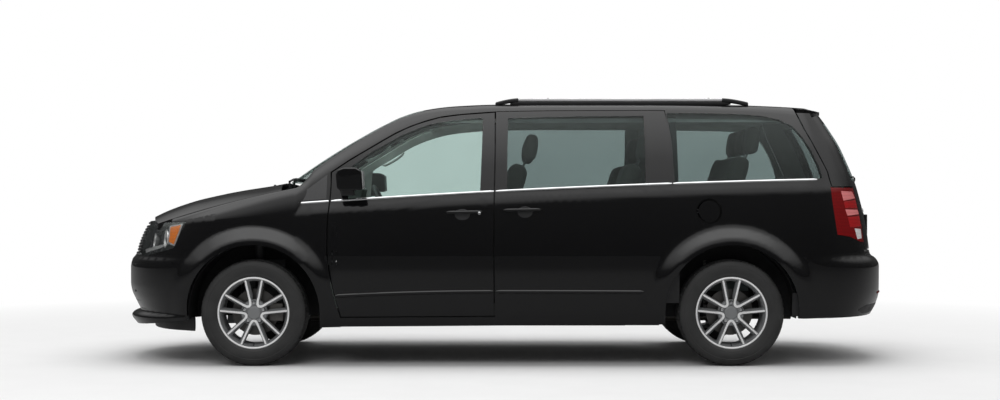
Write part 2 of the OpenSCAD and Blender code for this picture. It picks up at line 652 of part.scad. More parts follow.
// ---- floor and underside ----
floor_z = 372;
axle_z = tyre_r;
module floor_pan() {
    color("#2b2d30") {
        block([-1024, -839.7, 330], [1165, 839.7, floor_z]);
        block([1160, -492.7, 330], [1289.7, 492.7, floor_z]);
        block([-1024, -839.7, 330], [-1000, 839.7, 470]);
        block([-1760, -643.7, 430], [-1010, 643.7, 470]);
        block([-1760, -643.7, 330], [-1740, 643.7, 470]);
        block([-2330, -643.7, 330], [-1750, 643.7, 360]);
        block([-2433.4, -420, 330], [-2320, 420, 360]);
        both_sides() block([-2200, 640, 330], [-1945, 780, 360]);
        both_sides() block([-2200, 640, 350], [-1945, 660, 700]);
    }
}
liner_t = 4;
module arch_liner(cx, y0, y1) {
    translate([cx, y1 * sy, arch_z]) rotate([90, 0, 0]) linear_extrude((y1 - y0) * sy) difference() {
        circle(arch_r + liner_t + 3, $fn = fn);
        circle(arch_r + 3, $fn = fn);
        translate([-1000, -2000]) square([2000, 2000 - (arch_z - 300)]);
    }
    translate([cx, y0 * sy, arch_z]) rotate([90, 0, 0]) linear_extrude(liner_t) difference() {
        circle(arch_r + liner_t + 3, $fn = fn);
        translate([-1000, -2000]) square([2000, 2000 - (arch_z - 300)]);
        translate([-150, -400]) square([300, 720]);
    }
}
module arch_liners() {
    color("#141516") both_sides() difference() {
        liner_pair();
        translate([front_x, strut_y, 600]) cylinder(r = 42, h = 400, $fn = fn);
    }
}
module liner_pair() {
    union() {
        arch_liner(front_x, 497.3, 830);
        arch_liner(rear_x, 648, 815);
    }
}
module engine() {
    color("#5b5f63") {
        block([1400, -400, 232], [1880, 330, 880]);
        both_sides() translate([front_x, 690, axle_z]) rotate([90, 0, 0])
            cylinder(r = 14, h = 400, $fn = fn);
    }
}
module fuel_tank() {
    color("#1e2022") block([-800, 60, 240], [80, 640, 329.7]);
}
exhaust_y = -260;
pipe_z = 234;
module pipe_run(x, z, r, run) {
    translate([x * sx, exhaust_y * sy, z]) rotate([0, -90, 0]) cylinder(r = r, h = run, $fn = fn);
}
module exhaust() {
    color("#8a8681") {
        pipe_run(1380, pipe_z, 27, 2100 * sx);
        pipe_run(300, pipe_z, 62, 420);
        pipe_run(-700, pipe_z, 27, 1010 * sx);
        pipe_run(-1700, 272, 54, 350 * sx);
        pipe_run(-2040, 296, 24, 400 * sx);
        for (x = [900, -200]) block([x, exhaust_y - 6, 245], [x + 30, exhaust_y + 6, 329.7]);
        block([-1950, exhaust_y - 6, 300], [-1920, exhaust_y + 6, 329.7]);
    }
}

// ---- suspension ----
spindle_r = 28;
ball_r = 12;
strut_y = kingpin_y - 118;
knuckle_low = axle_z - 98;
knuckle_high = axle_z + 140;
module front_suspension() {
    color("#2a2c2e") {
        block([1440, -430, 196], [1780, 430, 231.7]);
        both_sides() {
            block([1560, 425, 196], [1670, 600, 220]);
            translate([front_x, kingpin_y, 196]) cylinder(r = 26, h = 24, $fn = fn);
            translate([front_x - 40, 590, 196]) cube([80, kingpin_y - 590, 24]);
            translate([front_x, kingpin_y, 210]) cylinder(r = ball_r, h = knuckle_low + 30 - 210, $fn = fn);
            translate([front_x - 25, strut_y - 20, knuckle_high + 5])
                cube([50, kingpin_y - strut_y + 30, 14]);
            translate([front_x, kingpin_y, knuckle_high - 25]) cylinder(r = ball_r, h = 35, $fn = fn);
            translate([front_x, strut_y, knuckle_high + 5])
                cylinder(r = 28, h = 810 * sz - knuckle_high, $fn = fn);
        }
        // tie bars that hold the two struts to the bulkhead
        both_sides() block([1310.3, 440, 800], [1640, 470, 830]);
        both_sides() block([1590, 440, 800], [1640, 660, 830]);
    }
}
module knuckle() {
    difference() {
        union() {
            translate([front_x, kingpin_y, knuckle_low])
                cylinder(r = 34, h = knuckle_high - knuckle_low, $fn = fn);
            translate([front_x, kingpin_y, axle_z]) rotate([-90, 0, 0])
                cylinder(r = spindle_r, h = wheel_y + 72 - kingpin_y, $fn = fn);
            translate([front_x - 120, kingpin_y - 20, axle_z - 30]) cube([120, 28, 60]);
            caliper();
        }
        translate([front_x, kingpin_y, knuckle_low - 1]) cylinder(r = ball_r + seat_gap, h = 32, $fn = fn);
        translate([front_x, kingpin_y, knuckle_high - 26])
            cylinder(r = ball_r + seat_gap, h = 30, $fn = fn);
    }
}
// brake caliper behind the axle, astride the disc
module caliper() {
    translate([front_x, wheel_y, axle_z]) {
        translate([-178, -60, -55]) cube([83, 22, 110]);
        translate([-178, -60, -55]) cube([18, 82, 110]);
        translate([-178, 8, -55]) cube([83, 14, 110]);
        translate([-130, -80, -30]) cube([50, 30, 60]);
    }
}
module knuckle_left() { color("#6d7073") knuckle(); }
module knuckle_right() { color("#6d7073") mirror([0, 1, 0]) knuckle(); }
module rear_axle() {
    color("#2a2c2e") {
        translate([rear_x - 30, -600, axle_z - 75]) cube([80, 1200, 70]);
        both_sides() {
            translate([rear_x, 560, axle_z]) rotate([-90, 0, 0])
                cylinder(r = spindle_r, h = wheel_y + 72 - 560, $fn = fn);
            translate([rear_x - 60, 560, axle_z - 80]) cube([150, 40, 120]);
            translate([rear_x, 520, axle_z - 30]) cylinder(r = 50, h = 429.7 * sz - axle_z + 30, $fn = fn);
            translate([rear_x + 80, 565, 300]) cube([-1000 * sx - rear_x - 80, 30, 29.7]);
        }
    }
}

// ---- wheels ----
module turned_y(cx, side) {
    translate([cx, side * wheel_y, axle_z]) rotate([0, 0, side > 0 ? 0 : 180])
        rotate([-90, 0, 0]) children();
}
// profiles are drawn with the radius across and the outward side of the wheel up
module tyre() {
    w = tyre_w / 2;
    rotate_extrude($fn = 96) polygon([[rim_r + seat_gap, -w + 12], [rim_r + seat_gap, w - 12],
        [rim_r + 22, w - 3], [rim_r + 55, w], [tyre_r - 40, w - 4], [tyre_r - 14, w - 14],
        [tyre_r - 3, w - 30], [tyre_r, w - 60], [tyre_r, -w + 60], [tyre_r - 3, -w + 30],
        [tyre_r - 14, -w + 14], [tyre_r - 40, -w + 4], [rim_r + 55, -w], [rim_r + 22, -w + 3]]);
}
spokes = 5;
hub_face = 40;
module rim() {
    w = tyre_w / 2 - 12;
    rotate_extrude($fn = 96) polygon([[rim_r, -w], [rim_r, -w + 12], [rim_r - 18, -w + 26],
        [rim_r - 18, w - 30], [rim_r, w - 12], [rim_r, w], [rim_r - 12, w], [rim_r - 26, w - 22],
        [rim_r - 26, -w + 22], [rim_r - 8, -w]]);
    difference() {
        translate([0, 0, hub_face]) linear_extrude(30) difference() {
            union() {
                circle(78, $fn = fn);
                for (i = [0:spokes - 1], side = [-1, 1]) rotate(i * 360 / spokes + 180)
                    polygon([[side * 14, 40], [side * 36, 40], [side * 62, rim_r - 23],
                        [side * 38, rim_r - 23]]);
            }
            for (i = [0:4]) rotate(i * 72 - 90) translate([stud_circle / 2, 0]) circle(7, $fn = fn);
        }
        translate([0, 0, hub_face - 1]) cylinder(r = spindle_r + seat_gap, h = 33.3, $fn = fn);
    }
    translate([0, 0, hub_face + 33]) cylinder(r = 34, h = 8, $fn = fn);
    translate([0, 0, hub_face + 29]) difference() {
        cylinder(r = 34, h = 6, $fn = fn);
        translate([0, 0, -1]) cylinder(r = spindle_r + seat_gap, h = 5, $fn = fn);
    }
}
module disc() {
    rotate_extrude($fn = 96) polygon([[spindle_r + seat_gap, hub_face - 10],
        [spindle_r + seat_gap, hub_face - 0.3], [80, hub_face - 0.3], [80, 0], [disc_r, 0],
        [disc_r, -24], [72, -24], [72, hub_face - 10]]);
}
module tyre_front_left() { color("#1b1b1c") turned_y(front_x, 1) tyre(); }
module tyre_front_right() { color("#1b1b1c") turned_y(front_x, -1) tyre(); }
module tyre_rear_left() { color("#1b1b1c") turned_y(rear_x, 1) tyre(); }
module tyre_rear_right() { color("#1b1b1c") turned_y(rear_x, -1) tyre(); }
module rim_front_left() { color("#b9bcc0") turned_y(front_x, 1) rim(); }
module rim_front_right() { color("#b9bcc0") turned_y(front_x, -1) rim(); }
module rim_rear_left() { color("#b9bcc0") turned_y(rear_x, 1) rim(); }
module rim_rear_right() { color("#b9bcc0") turned_y(rear_x, -1) rim(); }
module disc_front_left() { color("#7d7f82") turned_y(front_x, 1) disc(); }
module disc_front_right() { color("#7d7f82") turned_y(front_x, -1) disc(); }
module disc_rear_left() { color("#7d7f82") turned_y(rear_x, 1) disc(); }
module disc_rear_right() { color("#7d7f82") turned_y(rear_x, -1) disc(); }

// ---- roof rails and wipers ----
rail_y = 628;
rail_from = -1620;
rail_to = 60;
function rail_low(x) = roof_z(x, rail_y) + 22;
module roof_rail() {
    xs = steps(rail_from, rail_to, 6);
    translate([0, rail_y * sy + 14, 0]) rotate([90, 0, 0]) linear_extrude(28) polygon(stretch_xz(concat(
        [for (x = xs) [x, rail_low(x)]], [for (x = reversed(xs)) [x, rail_low(x) + 24]])));
}
module roof_rails() {
    color("#c9cbcd") both_sides() {
        roof_rail();
        for (x = [rail_from, -820, rail_to - 60]) rail_foot(x);
    }
}
module rail_foot(x) {
    z0 = max(roof_z(x, rail_y - 14), roof_z(x + 60, rail_y - 14)) + seat_gap;
    block([x + 5, rail_y - 11, z0], [x + 55, rail_y + 11, rail_low(x + 30) + 8]);
}
module wipers() {
    color(black) as_mesh() {
        wiper(610, 40);
        wiper(-20, -590);
    }
}
// a post in the scuttle, an arm along the foot of the glass, and the blade that lies on the glass
blade_at = 1436;
function on_glass(c, y, up) = [roof_x(c, y) * sx, y * sy, (roof_z(c, y) - 1 + up) * sz];
module blade(y0, y1) {
    rows = [blade_at - 8, blade_at + 8];
    sheet([for (c = rows) [for (y = steps(min(y0, y1), max(y0, y1), 8)) on_glass(c, y, 14)]],
        [for (c = rows) [for (y = steps(min(y0, y1), max(y0, y1), 8)) on_glass(c, y, seat_gap)]]);
}
module wiper(y0, y1) {
    post = on_glass(1470, y0, 0);
    low = cowl_z(1480, y0) * sz + 0.8;
    top = on_glass(1455, y0, 15)[2];
    translate([post[0], post[1], low]) cylinder(r = 7, h = top - low, $fn = 24);
    blade(y0, y1);
    hull() {
        translate([post[0], post[1], top - 8]) cylinder(r = 7, h = 8, $fn = 16);
        translate(on_glass(blade_at, mix(y0, y1, 0.3), 8)) cylinder(r = 6, h = 10, $fn = 16);
    }
    hull() {
        translate(on_glass(blade_at, mix(y0, y1, 0.3), 8)) cylinder(r = 6, h = 10, $fn = 16);
        translate(on_glass(blade_at, mix(y0, y1, 0.6), 8)) cylinder(r = 5, h = 8, $fn = 16);
    }
}

// ---- cabin ----
dash_line = [[1289.7, 720], [1289.7, 1030], [1200, 1062], [1090, 1058], [1000, 1020], [955, 960],
    [950, 880], [985, 800], [1060, 740], [1160, 720]];
wheel_mid = [800, 400, 1005];
column_tilt = 24;
module dashboard() {
    color("#3b3a38") {
        through_side(-800, 800) side_shape(dash_line);
        block([380, -120, floor_z + 0.3], [940, 120, 640]);
        at_column() translate([0, 0, 26]) cylinder(r = 34, h = 190, $fn = fn);
        at_column() translate([0, 0, -12]) cylinder(r = 11, h = 60, $fn = fn);
    }
}
module at_column() {
    translate([wheel_mid[0] * sx, wheel_mid[1] * sy, wheel_mid[2] * sz])
        rotate([0, 90 + column_tilt, 0]) children();
}
module steering_wheel() {
    color("#2c2b2a") at_column() {
        rotate_extrude($fn = 72) translate([steering_d / 2 - 15, 0]) circle(15, $fn = 20);
        difference() {
            union() {
                translate([0, 0, -14]) cylinder(r = 62, h = 34, $fn = fn);
                for (a = [-90, 0, 90]) rotate([0, 0, a]) translate([0, -16, -6])
                    cube([steering_d / 2 - 15, 32, 12]);
            }
            translate([0, 0, -13]) cylinder(r = 11 + seat_gap, h = 40, $fn = fn);
        }
    }
}
// side view of a seat about its hip point, cushion and back in one
seat_line = [[430, -40], [445, -105], [400, -160], [-80, -170], [-150, -130], [-350, 500], [-325, 545],
    [-265, 545], [-225, 500], [-75, 20], [-10, -55], [200, -50]];
headrest_line = [[-425, 575], [-420, 735], [-380, 755], [-335, 735], [-325, 580], [-360, 560]];
module seat(hx, y, hz, width, rests) {
    translate([hx * sx, y * sy, hz * sz]) {
        translate([0, width / 2, 0]) rotate([90, 0, 0]) linear_extrude(width) polygon(seat_line);
        for (r = rests) translate([0, r, 0]) {
            translate([0, 125, 0]) rotate([90, 0, 0]) linear_extrude(250) polygon(headrest_line);
            for (side = [-1, 1]) translate([-340, side * 60, 480]) rotate([0, -8, 0])
                cylinder(r = 7, h = 110, $fn = fn);
        }
        low = floor_z * sz - hz * sz + 0.3;
        translate([-60, -width / 2 + 60, low]) cube([380, width - 120, -160 - low]);
    }
}
module front_seats() { color("#77736a") both_sides() seat(200, 400, 770, 500, [0]); }
module second_row_seats() { color("#77736a") both_sides() seat(-560, 430, 770, 500, [0]); }
module third_row_seat() {
    color("#77736a") translate([0, 0, 98 * sz]) seat(-1290, 0, 720, 1180, [-400, 0, 400]);
}

floor_pan();
body_side_left();
body_side_right();
roof();
windshield();
cowl();
fenders();
arch_liners();
front_bumper();
grille();
headlamps();
sliding_door_left();
sliding_door_right();
sliding_door_glass();
quarter_glass();
tail_lamps();
rear_bumper();
roof_rails();
wipers();
dashboard();
front_seats();
second_row_seats();
third_row_seat();
engine();
fuel_tank();
exhaust();
front_suspension();
rear_axle();
door_hinges();
front_door_left();
front_door_right();
front_door_glass_left();
front_door_glass_right();
mirror_left();
mirror_right();
hood();
liftgate();
rear_glass();
rear_spoiler();
fuel_door();
steering_wheel();
knuckle_left();
knuckle_right();
tyre_front_left();
tyre_front_right();
tyre_rear_left();
tyre_rear_right();
rim_front_left();
rim_front_right();
rim_rear_left();
rim_rear_right();
disc_front_left();
disc_front_right();
disc_rear_left();
disc_rear_right();
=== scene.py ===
"""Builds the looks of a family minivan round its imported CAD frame."""

import json
import math

import bmesh
import bpy
from bpy.props import FloatProperty, FloatVectorProperty, IntProperty, PointerProperty
from bpy.types import Operator, Panel, PropertyGroup
from mathutils import Matrix, Vector
from mathutils.bvhtree import BVHTree
from mathutils.interpolate import poly_3d_calc

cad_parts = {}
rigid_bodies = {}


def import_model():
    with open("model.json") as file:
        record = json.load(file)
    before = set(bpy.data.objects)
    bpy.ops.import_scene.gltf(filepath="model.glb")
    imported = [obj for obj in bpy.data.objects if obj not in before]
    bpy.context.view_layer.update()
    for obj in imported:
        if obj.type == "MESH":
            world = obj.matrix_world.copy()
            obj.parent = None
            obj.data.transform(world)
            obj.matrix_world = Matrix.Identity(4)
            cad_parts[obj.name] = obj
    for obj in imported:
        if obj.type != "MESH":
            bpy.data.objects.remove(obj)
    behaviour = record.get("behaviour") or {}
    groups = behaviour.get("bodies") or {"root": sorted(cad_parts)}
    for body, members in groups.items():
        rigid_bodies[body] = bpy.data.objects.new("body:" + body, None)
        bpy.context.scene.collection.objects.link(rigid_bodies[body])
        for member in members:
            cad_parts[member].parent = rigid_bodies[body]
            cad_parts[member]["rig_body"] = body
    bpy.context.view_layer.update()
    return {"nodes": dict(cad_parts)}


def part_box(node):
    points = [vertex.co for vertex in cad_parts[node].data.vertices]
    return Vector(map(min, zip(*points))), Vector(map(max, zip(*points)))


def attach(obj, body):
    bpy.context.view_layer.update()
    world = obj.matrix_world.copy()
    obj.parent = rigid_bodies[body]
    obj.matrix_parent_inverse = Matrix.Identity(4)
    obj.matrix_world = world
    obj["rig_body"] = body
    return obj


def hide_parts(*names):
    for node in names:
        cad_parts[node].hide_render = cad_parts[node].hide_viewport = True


bl_info = {
    "name": "Minivan",
    "version": (1, 0, 0),
    "blender": (4, 5, 0),
    "location": "3D View > Sidebar > Minivan",
    "description": "Builds a family minivan piece by piece round its CAD frame",
    "category": "Object",
}

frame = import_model()
MM = 0.001
SIDES = {"left": 1, "right": -1}


# ---- body form, in millimetres, as the CAD source draws it ----

NOSE = [(150, 2470), (200, 2500), (240, 2535), (290, 2570), (313, 2552), (330, 2505), (360, 2520),
        (400, 2540), (450, 2564), (510, 2575), (615, 2575), (670, 2563), (700, 2538), (780, 2514),
        (870, 2474), (950, 2420), (1000, 2380), (1100, 2290), (1200, 2190)]
TAIL = [(240, -2490), (313, -2520), (383, -2556), (440, -2573), (470, -2575), (630, -2575),
        (680, -2549), (705, -2508), (770, -2500), (900, -2480), (1000, -2457), (1100, -2430),
        (1200, -2400), (1320, -2350), (1434, -2297), (1530, -2235), (1600, -2185), (1700, -2100)]
HOOD = [(1300, 1215), (1463, 1192), (1569, 1172), (1674, 1156), (1779, 1140), (1884, 1121),
        (1989, 1099), (2094, 1075), (2199, 1043), (2304, 1004), (2410, 952)]
ROOF = [(-2200, 1668), (-2090, 1690), (-2000, 1699), (-1800, 1711), (-1500, 1721), (-900, 1728),
        (-300, 1728), (97, 1723), (307, 1714), (412, 1705), (517, 1690), (622, 1666), (728, 1628),
        (833, 1576), (1043, 1459), (1253, 1328), (1463, 1184), (1500, 1160)]
DOOR_TOP = [(-2130, 1585), (-2000, 1612), (-1800, 1636), (-1500, 1652), (-1031, 1658), (-300, 1656),
            (53, 1650), (289, 1633), (419, 1615), (549, 1579), (678, 1526), (804, 1452),
            (868, 1413), (998, 1335), (1121, 1251), (1272, 1134)]
NOSE_START, TAIL_START = 1850, -1900
NOSE_ROUND, TAIL_ROUND = 2.1, 2.3
RAIL_RUN = 95
SILL_Z = 160
FENDER_MIX, FENDER_FROM = 1240, 1340
AXLE_Z = 343
FRONT_X, REAR_X = 1614, -1464
ARCH_R, ARCH_Z = 431, 351
FLARE_H = 14
FLARE_SHADE = {"times": 1.0}
FLARE_LIP, FLARE_RUN = 34, 84
FLARE_BOLD = 3.4


def curve_through(table):
    """A smooth curve through the table's points that never overshoots them."""
    xs = [p[0] for p in table]
    ys = [p[1] for p in table]
    rise = [(b - a) / (q - p) for a, b, p, q in zip(ys, ys[1:], xs, xs[1:])]
    slope = [rise[0]]
    for a, b in zip(rise, rise[1:]):
        slope.append(2 * a * b / (a + b) if a * b > 0 else 0.0)
    slope.append(rise[-1])

    def at(x):
        x = min(max(x, xs[0]), xs[-1])
        i = max(k for k in range(len(xs) - 1) if xs[k] <= x)
        h = xs[i + 1] - xs[i]
        t = (x - xs[i]) / h
        return (ys[i] * (1 + 2 * t) * (1 - t) ** 2 + ys[i + 1] * t * t * (3 - 2 * t)
                + h * (slope[i] * t * (1 - t) ** 2 + slope[i + 1] * t * t * (t - 1)))

    return at


nose, tail, hood_line, roof_line, door_top = map(curve_through, (NOSE, TAIL, HOOD, ROOF, DOOR_TOP))


def clamp(t):
    return min(1.0, max(0.0, t))


def mix(a, b, t):
    return a * (1 - t) + b * t


def belt(x):
    return 1128 - 0.0514 * (x - 27) - 7.39e-6 * (x - 27) ** 2


def crease(x):
    return belt(x) - 68


def plan_half(x):
    return 992 - 6e-6 * x * x


def lean(x, z):
    zc, zb = crease(x), belt(x)
    if z < 640:
        return 0.00038 * (640 - z) ** 2
    if z < zc:
        return 0.0001 * (z - 640) ** 2
    low = 0.0001 * (zc - 640) ** 2
    if z < zb:
        return low + 0.38 * (z - zc)
    narrow = 0.00006 * max(0, -1000 - x)
    return low + 0.38 * 68 + (0.26 + narrow) * (z - zb) + 0.00022 * (z - zb) ** 2


def flare(x, z):
    """How far the arch stands out: a sloping band that meets a flat lip round the wheel."""
    total = 0
    for cx in (FRONT_X, REAR_X):
        past = math.hypot(x - cx, z - ARCH_Z) - ARCH_R - FLARE_LIP
        if past < FLARE_RUN:
            upright = clamp(((z - ARCH_Z) / (past + ARCH_R + FLARE_LIP) - 0.3) / 0.4)
            total += FLARE_H * mix(1, FLARE_SHADE["times"], upright) * clamp(1 - past / FLARE_RUN)
    return total


def round_off(u, n):
    return (1 - min(0.999, max(0.0, u)) ** n) ** (1 / n)


def flank(x, z):
    """Half width of the body at a place on its side."""
    half = plan_half(x) - lean(x, z) + flare(x, z)
    if x > NOSE_START:
        half *= round_off((x - NOSE_START) / (nose(z) - NOSE_START), NOSE_ROUND)
    if x < TAIL_START:
        half *= round_off((TAIL_START - x) / (TAIL_START - tail(z)), TAIL_ROUND)
    return half


def hood_edge_y(x):
    return 905 - 0.000172 * (x - 1300) ** 2


def hood_edge_z(x):
    return 1083 - 0.23 * (x - 1652) - 7.5e-5 * (x - 1652) ** 2


def hood_z(x, y):
    c = hood_line(x)
    return c - (c - hood_edge_z(x)) * (abs(y) / hood_edge_y(x)) ** 2.2


def sweep_back(c):
    return 0.00013 * clamp(c / 500)


def roof_z(c, y):
    return roof_line(c) - (35 - 25 * clamp((c - 300) / 600)) * (abs(y) / 700) ** 2.4


def roof_edge_y(x):
    return flank(x, door_top(x)) - RAIL_RUN


def roof_point(c, y):
    return (c - sweep_back(c) * y * y, y, roof_z(c, y))


def centre_of(x):
    y = roof_edge_y(x)
    return x + sweep_back(x + sweep_back(x) * y * y) * y * y


def side_section(x, s):
    """Half section at x: s runs 0 to 1 up the flank, and on to 2 round the shoulder."""
    t = clamp((x - FENDER_MIX) / (FENDER_FROM - FENDER_MIX))
    turn = mix(door_top(x), crease(x), t)
    if s <= 1:
        z = mix(SILL_Z, turn, s)
        return flank(x, z), z
    y = roof_edge_y(x) if t < 1 else 0
    roof = Vector((y, roof_z(centre_of(x), y) if t < 1 else 0))
    end = roof.lerp(Vector((hood_edge_y(x), hood_edge_z(x))), t)
    low = end.y - 10
    knee = Vector((mix(flank(x, min(low, turn + 90)), flank(x, turn) - 12, t), low))
    start, q = Vector((flank(x, turn), turn)), s - 1
    p = start * (1 - q) ** 2 + knee * 2 * q * (1 - q) + end * q * q
    return p.x, p.y


def wrap_point(z, angle, ahead):
    """A point of the rounded nose (ahead) or tail, by its angle from the centre line."""
    n, start = (NOSE_ROUND, NOSE_START) if ahead else (TAIL_ROUND, TAIL_START)
    reach = (nose(z) if ahead else tail(z)) - start
    past = max(0, abs(angle) - 90)
    c = 0 if past else abs(math.cos(math.radians(angle))) ** (2 / n)
    s = 1 if past else abs(math.sin(math.radians(angle))) ** (2 / n)
    x = start + reach * c - (10 if ahead else -10) * past
    half = plan_half(x) - lean(x, z) + flare(x, z)
    return x, math.copysign(half * s, angle), z


# ---- forms: fine grids of the body surface that give panels their true normals ----

class Form:
    """A fine grid laid on a surface, looked up by the nearest point."""

    def __init__(self, point, across, along, bold=1.0):
        self.mesh = bmesh.new()
        bmesh.ops.create_grid(self.mesh, x_segments=across, y_segments=along, size=0.5)
        FLARE_SHADE["times"] = bold
        flat = [v.co.copy() for v in self.mesh.verts]
        for v in self.mesh.verts:
            v.co = Vector(point(v.co.x + 0.5, v.co.y + 0.5)) * MM
        self.mesh.normal_update()
        self.normals = [v.normal.copy() for v in self.mesh.verts]
        FLARE_SHADE["times"] = 1.0
        for v, co in zip(self.mesh.verts, flat):
            v.co = Vector(point(co.x + 0.5, co.y + 0.5)) * MM
        self.mesh.faces.ensure_lookup_table()
        middle = Vector((0, 0, 0.8))
        self.mesh.verts.index_update()
        out = sum(self.normals[v.index].dot(v.co - middle) for v in self.mesh.verts)
        self.sign = 1 if out > 0 else -1
        self.tree = BVHTree.FromBMesh(self.mesh)

    def at(self, co):
        """Distance, nearest point and outward normal."""
        spot, _, index, far = self.tree.find_nearest(co)
        face = self.mesh.faces[index]
        weights = poly_3d_calc([v.co for v in face.verts], spot)
        normal = Vector()
        for v, w in zip(face.verts, weights):
            normal += self.normals[v.index] * w
        return far, spot, normal.normalized() * self.sign


def side_form(side):
    def point(u, v):
        x = mix(-2190, 2165, u)
        y, z = side_section(x, 2 * v)
        return x, side * y, z
    return Form(point, 300, 150, FLARE_BOLD)


def wrap_form(ahead):
    low, high = (150, 980) if ahead else (290, 1690)

    def point(u, v):
        return wrap_point(mix(low, high, v), mix(-112, 112, u), ahead)
    return Form(point, 190, 110, FLARE_BOLD)


def roof_form():
    def point(u, v):
        c = mix(-2000, 1490, u)
        x = c - sweep_back(c) * 600 ** 2
        return roof_point(c, roof_edge_y(x) * mix(-1, 1, v))
    return Form(point, 180, 60)


def hood_form():
    def point(u, v):
        x = mix(1330, 2405, u)
        y = mix(-1, 1, v) * hood_edge_y(x)
        return x, y, hood_z(x, y)
    return Form(point, 80, 60)


FORMS = {}


def form(name):
    """The forms by name, each made the first time it is asked for."""
    makers = {"left": lambda: side_form(1), "right": lambda: side_form(-1),
              "nose": lambda: wrap_form(True), "tail": lambda: wrap_form(False),
              "roof": roof_form, "hood": hood_form}
    if name not in FORMS:
        FORMS[name] = makers[name]()
    return FORMS[name]


# ---- mesh helpers ----

def cad_copy(node):
    """A merged copy of a CAD node's mesh."""
    bm = bmesh.new()
    bm.from_mesh(frame["nodes"][node].data)
    bmesh.ops.remove_doubles(bm, verts=bm.verts, dist=2e-5)
    bmesh.ops.dissolve_degenerate(bm, dist=1e-6, edges=bm.edges)
    return bm


def firm_normals(bm, smooth):
    """Corner normals weighted by area, so that narrow rounded edges leave the faces flat."""
    bm.normal_update()
    limit = math.cos(math.radians(smooth))
    found = []
    for face in bm.faces:
        for v in face.verts:
            near = [f for f in v.link_faces if f.normal.dot(face.normal) > limit]
            total = sum((f.normal * f.calc_area() for f in near), Vector())
            found.append(total.normalized() if total.length > 0 else face.normal.copy())
    return found


def finish_mesh(name, bm, materials, body, smooth=40, replaces=()):
    """Turns a bmesh into a piece that rides on a body."""
    mesh = bpy.data.meshes.new(name)
    normals = firm_normals(bm, smooth)
    bm.to_mesh(mesh)
    bm.free()
    for material in materials:
        mesh.materials.append(material)
    mesh.shade_smooth()
    mesh.normals_split_custom_set(normals)
    piece = bpy.data.objects.new(name, mesh)
    bpy.context.scene.collection.objects.link(piece)
    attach(piece, body)
    if replaces:
        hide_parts(*replaces)
    return piece


def nearest_form(co, forms):
    return min((f.at(co) for f in forms), key=lambda found: found[0])


def refine(bm, size, passes=5):
    """Splits the long edges of the skin faces until they are shorter than size."""
    for _ in range(passes):
        long = {e for f in bm.faces if f.material_index == 0 for e in f.edges
                if e.calc_length() > size}
        if not long:
            return
        bmesh.ops.subdivide_edges(bm, edges=list(long), cuts=1)
        wide = [f for f in bm.faces if len(f.verts) > 3]
        bmesh.ops.triangulate(bm, faces=wide, quad_method="BEAUTY", ngon_method="BEAUTY")


def panel(name, node, forms, skin, lining, tone=0.8, size=0.04, snap=0.016, carve=None):
    """A CAD panel laid on its true form: skin outside with the form's normals, lining inside."""
    bm = cad_copy(node)
    if carve:
        carve(bm)
    bm.normal_update()
    shapes = [form(f) for f in forms]
    for face in bm.faces:
        far, _, n = nearest_form(face.calc_center_median(), shapes)
        facing = face.normal.dot(n)
        outer = facing > tone and far < snap
        face.material_index = 0 if outer else (1 if facing < -tone else 2)
    refine(bm, size)
    bm.normal_update()
    found = {v: nearest_form(v.co, shapes) for v in bm.verts}
    for v, (far, spot, n) in found.items():
        if far < snap and any(f.material_index == 0 for f in v.link_faces):
            v.co = spot
    bm.normal_update()
    normals = []
    for face in bm.faces:
        for v in face.verts:
            n = found[v][2]
            along = face.normal.dot(n)
            smooth = face.material_index < 2 and abs(along) > 0.5
            normals.append(math.copysign(1, along) * n if smooth else face.normal.copy())
        if face.material_index == 2:
            face.material_index = 0
    mesh = bpy.data.meshes.new(name)
    bm.to_mesh(mesh)
    bm.free()
    mesh.materials.append(skin)
    mesh.materials.append(lining)
    mesh.shade_smooth()
    mesh.normals_split_custom_set(normals)
    piece = bpy.data.objects.new(name, mesh)
    bpy.context.scene.collection.objects.link(piece)
    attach(piece, frame["nodes"][node]["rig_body"])
    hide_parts(node)
    return piece


def net(point, across, around, closed=True, capped=True):
    """A grid bent by point(u, v); closed joins v = 0 to v = 1, capped fills both ends."""
    bm = bmesh.new()
    bmesh.ops.create_grid(bm, x_segments=across, y_segments=around, size=0.5)
    for v in bm.verts:
        v.co = Vector(point(v.co.x + 0.5, v.co.y + 0.5)) * MM
    if closed:
        bmesh.ops.remove_doubles(bm, verts=bm.verts, dist=1e-5)
    if capped:
        bmesh.ops.holes_fill(bm, edges=bm.edges, sides=0)
    bmesh.ops.recalc_face_normals(bm, faces=bm.faces)
    return bm


def turned(profile, steps=96):
    """A profile of (radius, height) points spun round the Z axis."""
    bm = bmesh.new()
    verts = [bm.verts.new((r * MM, 0, h * MM)) for r, h in profile]
    edges = [bm.edges.new(pair) for pair in zip(verts, verts[1:])]
    bmesh.ops.spin(bm, geom=verts + edges, cent=(0, 0, 0), axis=(0, 0, 1), angle=math.tau,
                   steps=steps, use_merge=True)
    bmesh.ops.remove_doubles(bm, verts=bm.verts, dist=1e-6)
    bmesh.ops.recalc_face_normals(bm, faces=bm.faces)
    return bm


def joined(parts):
    """Several bmeshes as one."""
    whole = bmesh.new()
    for part in parts:
        mesh = bpy.data.meshes.new("part")
        part.to_mesh(mesh)
        part.free()
        whole.from_mesh(mesh)
        bpy.data.meshes.remove(mesh)
    return whole


def painted(bm, index):
    for face in bm.faces:
        face.material_index = index
    return bm


def moved(bm, matrix):
    bmesh.ops.transform(bm, matrix=matrix, verts=bm.verts)
    if matrix.determinant() < 0:
        bmesh.ops.reverse_faces(bm, faces=bm.faces)
    return bm


